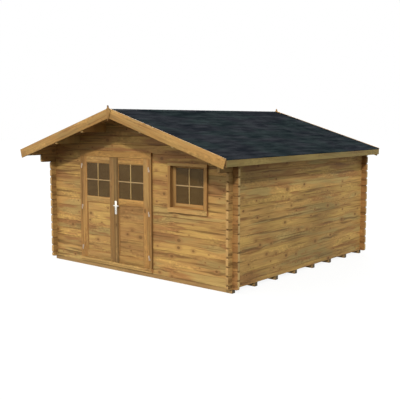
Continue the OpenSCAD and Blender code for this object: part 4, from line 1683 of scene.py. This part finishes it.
@dataclass
class DoorHandle:
    """The handle plate with its keyhole and screws, and the lever.

    The rim and the crown of a disc are shares of its thickness.
    """

    metal: Material
    dark: Material
    body: str = "right_door"
    edge: float = 0.0014
    corner_r: float = 0.008
    disc_sides: int = 24
    disc_rim: float = 0.3
    disc_crown: float = 0.2
    screw_r: float = 0.0045
    screw_out: float = 0.0008
    screw_in: float = 0.012
    recess_r: float = 0.00225
    recess_d: float = 0.00056
    key_r: float = 0.0048
    key_w: float = 0.0040
    key_t: float = 0.0004
    key_down: float = 0.018
    key_z: float = -0.046
    key_edge: float = 0.0008
    collar_r: float = 0.009
    collar_t: float = 0.003
    neck_r: float = 0.00738
    neck_stop: float = 0.0044
    grip_t: float = 0.011
    grip_r: float = 0.00855
    grip_edge: float = 0.00225

    def build(self) -> None:
        """Builds the plate, its screws and keyhole, and the lever."""
        low, high = corners("door_handle_plate")
        plate = block("handle_plate", low, high)
        with editing(plate):
            ease(plate, lambda at, way: abs(way.y) > ALONG, self.corner_r, 4)
            ease(plate, lambda at, way: at.y < low.y + NEAR and abs(way.y) < ACROSS, self.edge, 2)
        add_piece(plate, self.metal, self.body, ("door_handle_plate",))
        face = Vector(((low.x + high.x) / 2, low.y, (low.z + high.z) / 2))
        self.build_screws(face, (low.z + self.screw_in, high.z - self.screw_in))
        self.build_keyhole(face + Vector((0.0, 0.0, self.key_z)))
        self.build_lever()

    def push_face(self, piece: Piece, inset: float, back: float) -> None:
        """Insets the front face of a disc and moves it in depth.

        Args:
            piece: The disc.
            inset: How far the face is inset.
            back: How far it moves to the back.
        """
        with editing(piece):
            pick(piece, Parts.FACE, lambda at, normal: normal.y < -ALONG)
            bpy.ops.mesh.inset(thickness=inset)
            bpy.ops.transform.translate(value=(0.0, back, 0.0))

    def disc(self, name: str, at: Vector, radius: float, thick: float) -> Piece:
        """Makes a round disc whose face looks to the front, with an eased rim.

        Args:
            name: Name of the piece.
            at: Middle of its back.
            radius: Its radius.
            thick: How far it stands out to the front.

        Returns:
            The new object.
        """
        clear_selection()
        bpy.ops.mesh.primitive_cylinder_add(
            vertices=self.disc_sides, radius=radius, depth=thick, rotation=(math.pi / 2, 0.0, 0.0),
            location=(at.x, at.y - thick / 2, at.z))
        piece = take(name)
        self.push_face(piece, thick * self.disc_rim, -thick * self.disc_crown)
        return piece

    def build_screws(self, face: Vector, heights: Pair) -> None:
        """Sets a screw with a recess at the top and the bottom of the plate.

        Args:
            face: Middle of the plate's face.
            heights: Heights of the screws.
        """
        heads = []
        for z in heights:
            heads.append(self.disc("plate_screw", Vector((face.x, face.y, z)), self.screw_r, self.screw_out))
            self.push_face(heads[-1], self.recess_r, self.recess_d)
        add_piece(join("plate_screws", heads), self.metal, self.body)

    def build_keyhole(self, at: Vector) -> None:
        """Sets a keyhole on the plate's face, round with a foot, as a dark piece of painted shade in place
        of a hole.

        Args:
            at: Middle of its round part.
        """
        eye = self.disc("keyhole", at, self.key_r, self.key_t)
        half = Vector((self.key_w / 2, 0.0, 0.0))
        foot = block("keyhole_foot", at - half - Vector((0.0, self.key_t, self.key_down)), at + half)
        with editing(foot):
            ease(foot, lambda at, way: abs(way.y) > ALONG, self.key_edge, 2)
        add_piece(join("keyhole", [eye, foot]), self.dark, self.body)

    def build_lever(self) -> None:
        """Builds the lever with a collar, a round neck and a rounded grip."""
        low, high = corners("door_lever")
        axis = Vector((low.x + self.collar_r, high.y, (low.z + high.z) / 2))
        collar = self.disc("lever_collar", axis, self.collar_r, self.collar_t)
        neck = self.disc("lever_neck", axis, self.neck_r, high.y - low.y - self.neck_stop)
        grip = block("lever_grip", low, Vector((high.x, low.y + self.grip_t, high.z)))
        with editing(grip):
            ease(grip, lambda at, way: abs(way.y) > ALONG, self.grip_r, 6)
            ease(grip, lambda at, way: abs(way.y) < ACROSS, self.grip_edge, 3)
        add_piece(join("lever_handle", [grip, collar, neck]), self.metal, "lever",
                  ("door_lever",))


@dataclass
class DoorSet:
    """Frame, cover strip and fittings of the double door."""

    finishes: Finishes
    glass: Material
    steel: Material
    hinge_metal: Material
    dark: Material
    groove_in: float = 0.020
    groove_pitch: float = 0.052
    post_run: Pair = (-2.05, 0.31)
    # Shares of painted shade on the side faces of the door posts and of the cover strip.
    post_grime: float = 0.7
    strip_grime: float = 0.25

    def build(self) -> None:
        """Builds both leaves and the handle."""
        for side in Side:
            leaf = DoorLeaf(self.finishes, side)
            leaf.build()
            leaf.dress(self.glass, self.hinge_metal)
        DoorHandle(self.steel, self.dark).build()

    def dress(self) -> None:
        """Finishes the frame, the strip and the hinges on the frame."""
        shades, planed = self.finishes.palette, self.finishes.planed
        # The posts' side faces are darkened as painted shade.
        post = planed("post_wood", Grain.UPRIGHT, shades.trim, self.post_run, side_grime=self.post_grime)
        dress_nodes(post, "door_left_jamb", "door_right_jamb")
        dress_nodes(planed("head_wood", Grain.ACROSS_CABIN, shades.head), "door_head")
        dress_nodes(planed("threshold_wood", Grain.ACROSS_CABIN, shades.sill), "door_threshold")
        # The strip's grooves take painted shade with some dirt, and its side faces take painted shade.
        grooves = (corners("door_cover_strip")[0].x + self.groove_in, self.groove_pitch)
        strip = planed("strip_wood", Grain.UPRIGHT, shades.strip, grooves, side_grime=self.strip_grime,
                       joint_grime=1.0)
        dress_nodes(strip, "door_cover_strip")
        dress_nodes(self.hinge_metal, "door_frame_hinges")


@dataclass
class WindowUnit:
    """The fixed window in the front wall."""

    finishes: Finishes
    glass: Material
    edge: float = 0.003
    post_run: Pair = (-2.0, 0.31)
    beam_run: Pair = (0.0, 0.4)
    # Share of painted shade on the side faces of the window posts.
    post_grime: float = 0.6

    def build(self) -> None:
        """Builds the sash in four pieces and its glazing."""
        sash, glass = corners("window_sash"), corners("window_glass")
        heights = ((sash[0].z, glass[0].z), (glass[1].z, sash[1].z))
        stiles, rails = framing("sash", sash, glass, heights, self.edge)
        shades, planed = self.finishes.palette, self.finishes.planed
        # The sash stiles take the darker meeting stain, which paints the casing's shadow.
        add_piece(join("window_sash_stiles", stiles),
                  planed("sash_stile_wood", Grain.UPRIGHT, shades.meeting, self.post_run),
                  CABIN, ("window_sash",))
        add_piece(join("window_sash_rails", rails),
                  planed("sash_rail_wood", Grain.ACROSS_CABIN, shades.trim, self.beam_run),
                  CABIN)
        Glazing(self.finishes, "window_glazing", "window_glass", CABIN, sash[0].y, sash[1].y).build()

    def dress(self) -> None:
        """Finishes the casing and the glass."""
        shades, planed = self.finishes.palette, self.finishes.planed
        dress_nodes(self.glass, "window_glass")
        # The posts' side faces are darkened as painted shade.
        dress_nodes(planed("window_post_wood", Grain.UPRIGHT, shades.trim, self.post_run,
                           side_grime=self.post_grime), "window_jambs")
        dress_nodes(planed("window_beam_wood", Grain.ACROSS_CABIN, shades.sill, self.beam_run),
                    "window_head", "window_sill")


@dataclass(frozen=True)
class SunLamp:
    """A distant lamp: where it stands, how strong and how soft it is."""

    name: str
    from_right: float
    height: float
    strength: float
    angle: float
    colour: Colour = (1.0, 1.0, 1.0)

    def build(self) -> None:
        """Adds the lamp, turned from the front towards the right by its angle."""
        clear_selection()
        bpy.ops.object.light_add(type="SUN", rotation=(
            math.radians(90.0 - self.height), 0.0, math.radians(self.from_right)))
        lamp = bpy.context.active_object
        lamp.name = lamp.data.name = self.name
        lamp.data.energy = self.strength
        lamp.data.angle = math.radians(self.angle)
        lamp.data.color = self.colour


@dataclass
class Studio:
    """Camera, lamps, sky and floor."""

    camera_at: Vector = field(default_factory=lambda: Vector((7.822, -9.475, 2.494)))
    camera_pitch: float = 83.3085
    camera_turn: float = 39.908
    lens: float = 61.45
    view_reach: float = 200.0
    lamps: tuple[SunLamp, ...] = (
        SunLamp("key", 35.0, 31.2, 2.1, 2.5, (1.0, 0.985, 0.93)),
        SunLamp("left_fill", -32.0, 33.0, 2.05, 72.0, (0.99, 1.0, 0.91)),
        SunLamp("right_fill", 86.0, 5.0, 1.25, 60.0, (0.92, 1.0, 0.96)),
        SunLamp("back_fill", 215.0, 32.0, 1.5, 40.0),
    )
    sky_strength: float = 0.21
    sky_colour: Colour = (0.86, 1.0, 0.94)
    floor_reach: float = 60.0
    floor_drop: float = 0.0005
    floor_tone: float = 0.13
    floor_glow: float = 0.90

    def build(self) -> None:
        """Builds the studio round the cabin."""
        scene = bpy.context.scene
        scene.view_settings.view_transform = "Standard"
        clear_selection()
        bpy.ops.object.camera_add(location=self.camera_at, rotation=(
            math.radians(self.camera_pitch), 0.0, math.radians(self.camera_turn)))
        scene.camera = bpy.context.active_object
        scene.camera.data.lens = self.lens
        scene.camera.data.clip_end = self.view_reach
        for lamp in self.lamps:
            lamp.build()
        self.build_sky(scene)
        self.build_floor()

    def build_sky(self, scene: bpy.types.Scene) -> None:
        """Makes a white sky that lights the cabin softly and shows white to the eye.

        Args:
            scene: The scene that gets the sky.
        """
        scene.world = bpy.data.worlds.new("white_sky")
        scene.world.use_nodes = True
        tree = Tree(scene.world.node_tree)
        shown = self.seen(tree)
        tree.feed(scene.world.node_tree.nodes["Background"], {
            "Color": tree.mix(shown, self.sky_colour, (1.0, 1.0, 1.0)),
            "Strength": tree.math("MAXIMUM", shown, self.sky_strength)})

    def seen(self, tree: Tree) -> Value:
        """Masks the rays that show the background to the eye, in metal and through glass.

        Args:
            tree: Node tree that the mask is for.

        Returns:
            The mask.
        """
        path = tree.add("LightPath")
        camera, glossy, through = (
            tree.out(path, f"Is {kind} Ray") for kind in ("Camera", "Glossy", "Transmission"))
        return tree.math("MAXIMUM", tree.math("MAXIMUM", camera, glossy), through)

    def build_floor(self) -> None:
        """Lays a wide pale floor that takes the cabin's shadow."""
        clear_selection()
        bpy.ops.mesh.primitive_plane_add(size=2 * self.floor_reach, location=(0.0, 0.0, -self.floor_drop))
        floor = take("floor")
        made, tree, shader = new_material("pale_floor")
        tree.tree.nodes.remove(shader)
        matt = tree.add("BsdfDiffuse", {"Color": (self.floor_tone,) * 3})
        glow = tree.add("Emission", {"Strength": self.seen(tree) * self.floor_glow})
        both = tree.add("AddShader", {0: tree.out(matt), 1: tree.out(glow)})
        tree.feed(tree.tree.nodes["Material Output"], {"Surface": tree.out(both)})
        dress(floor, made)


def main() -> None:
    """Builds the studio and every sub-assembly in order."""
    logging.basicConfig(level=logging.INFO, format="%(name)s: %(message)s")
    Studio().build()
    finishes = Finishes(Palette(), StainedTimber(TimberFigure()))
    glass = GlassFinish("window_pane").material()
    steel = MetalFinish("satin_steel").material()
    hinge_metal = MetalFinish("hinge_metal", (0.52, 0.42, 0.33), 0.5).material()
    # The keyhole is a dark piece of painted shade where the hole would be.
    dark = MetalFinish("dark_recess", (0.03, 0.03, 0.03), 0.6).material()
    base_z = corners("floor_bearers")[1].z
    course = corners("front_left_odd_logs")[0].z - base_z
    LogWalls(finishes, base_z, course).dress()
    for part in (FloorBase(finishes), Roof(finishes, Granules()),
                 DoorSet(finishes, glass, steel, hinge_metal, dark), WindowUnit(finishes, glass)):
        part.build()
        part.dress()
    clear_selection()


if __name__ == "__main__":
    main()
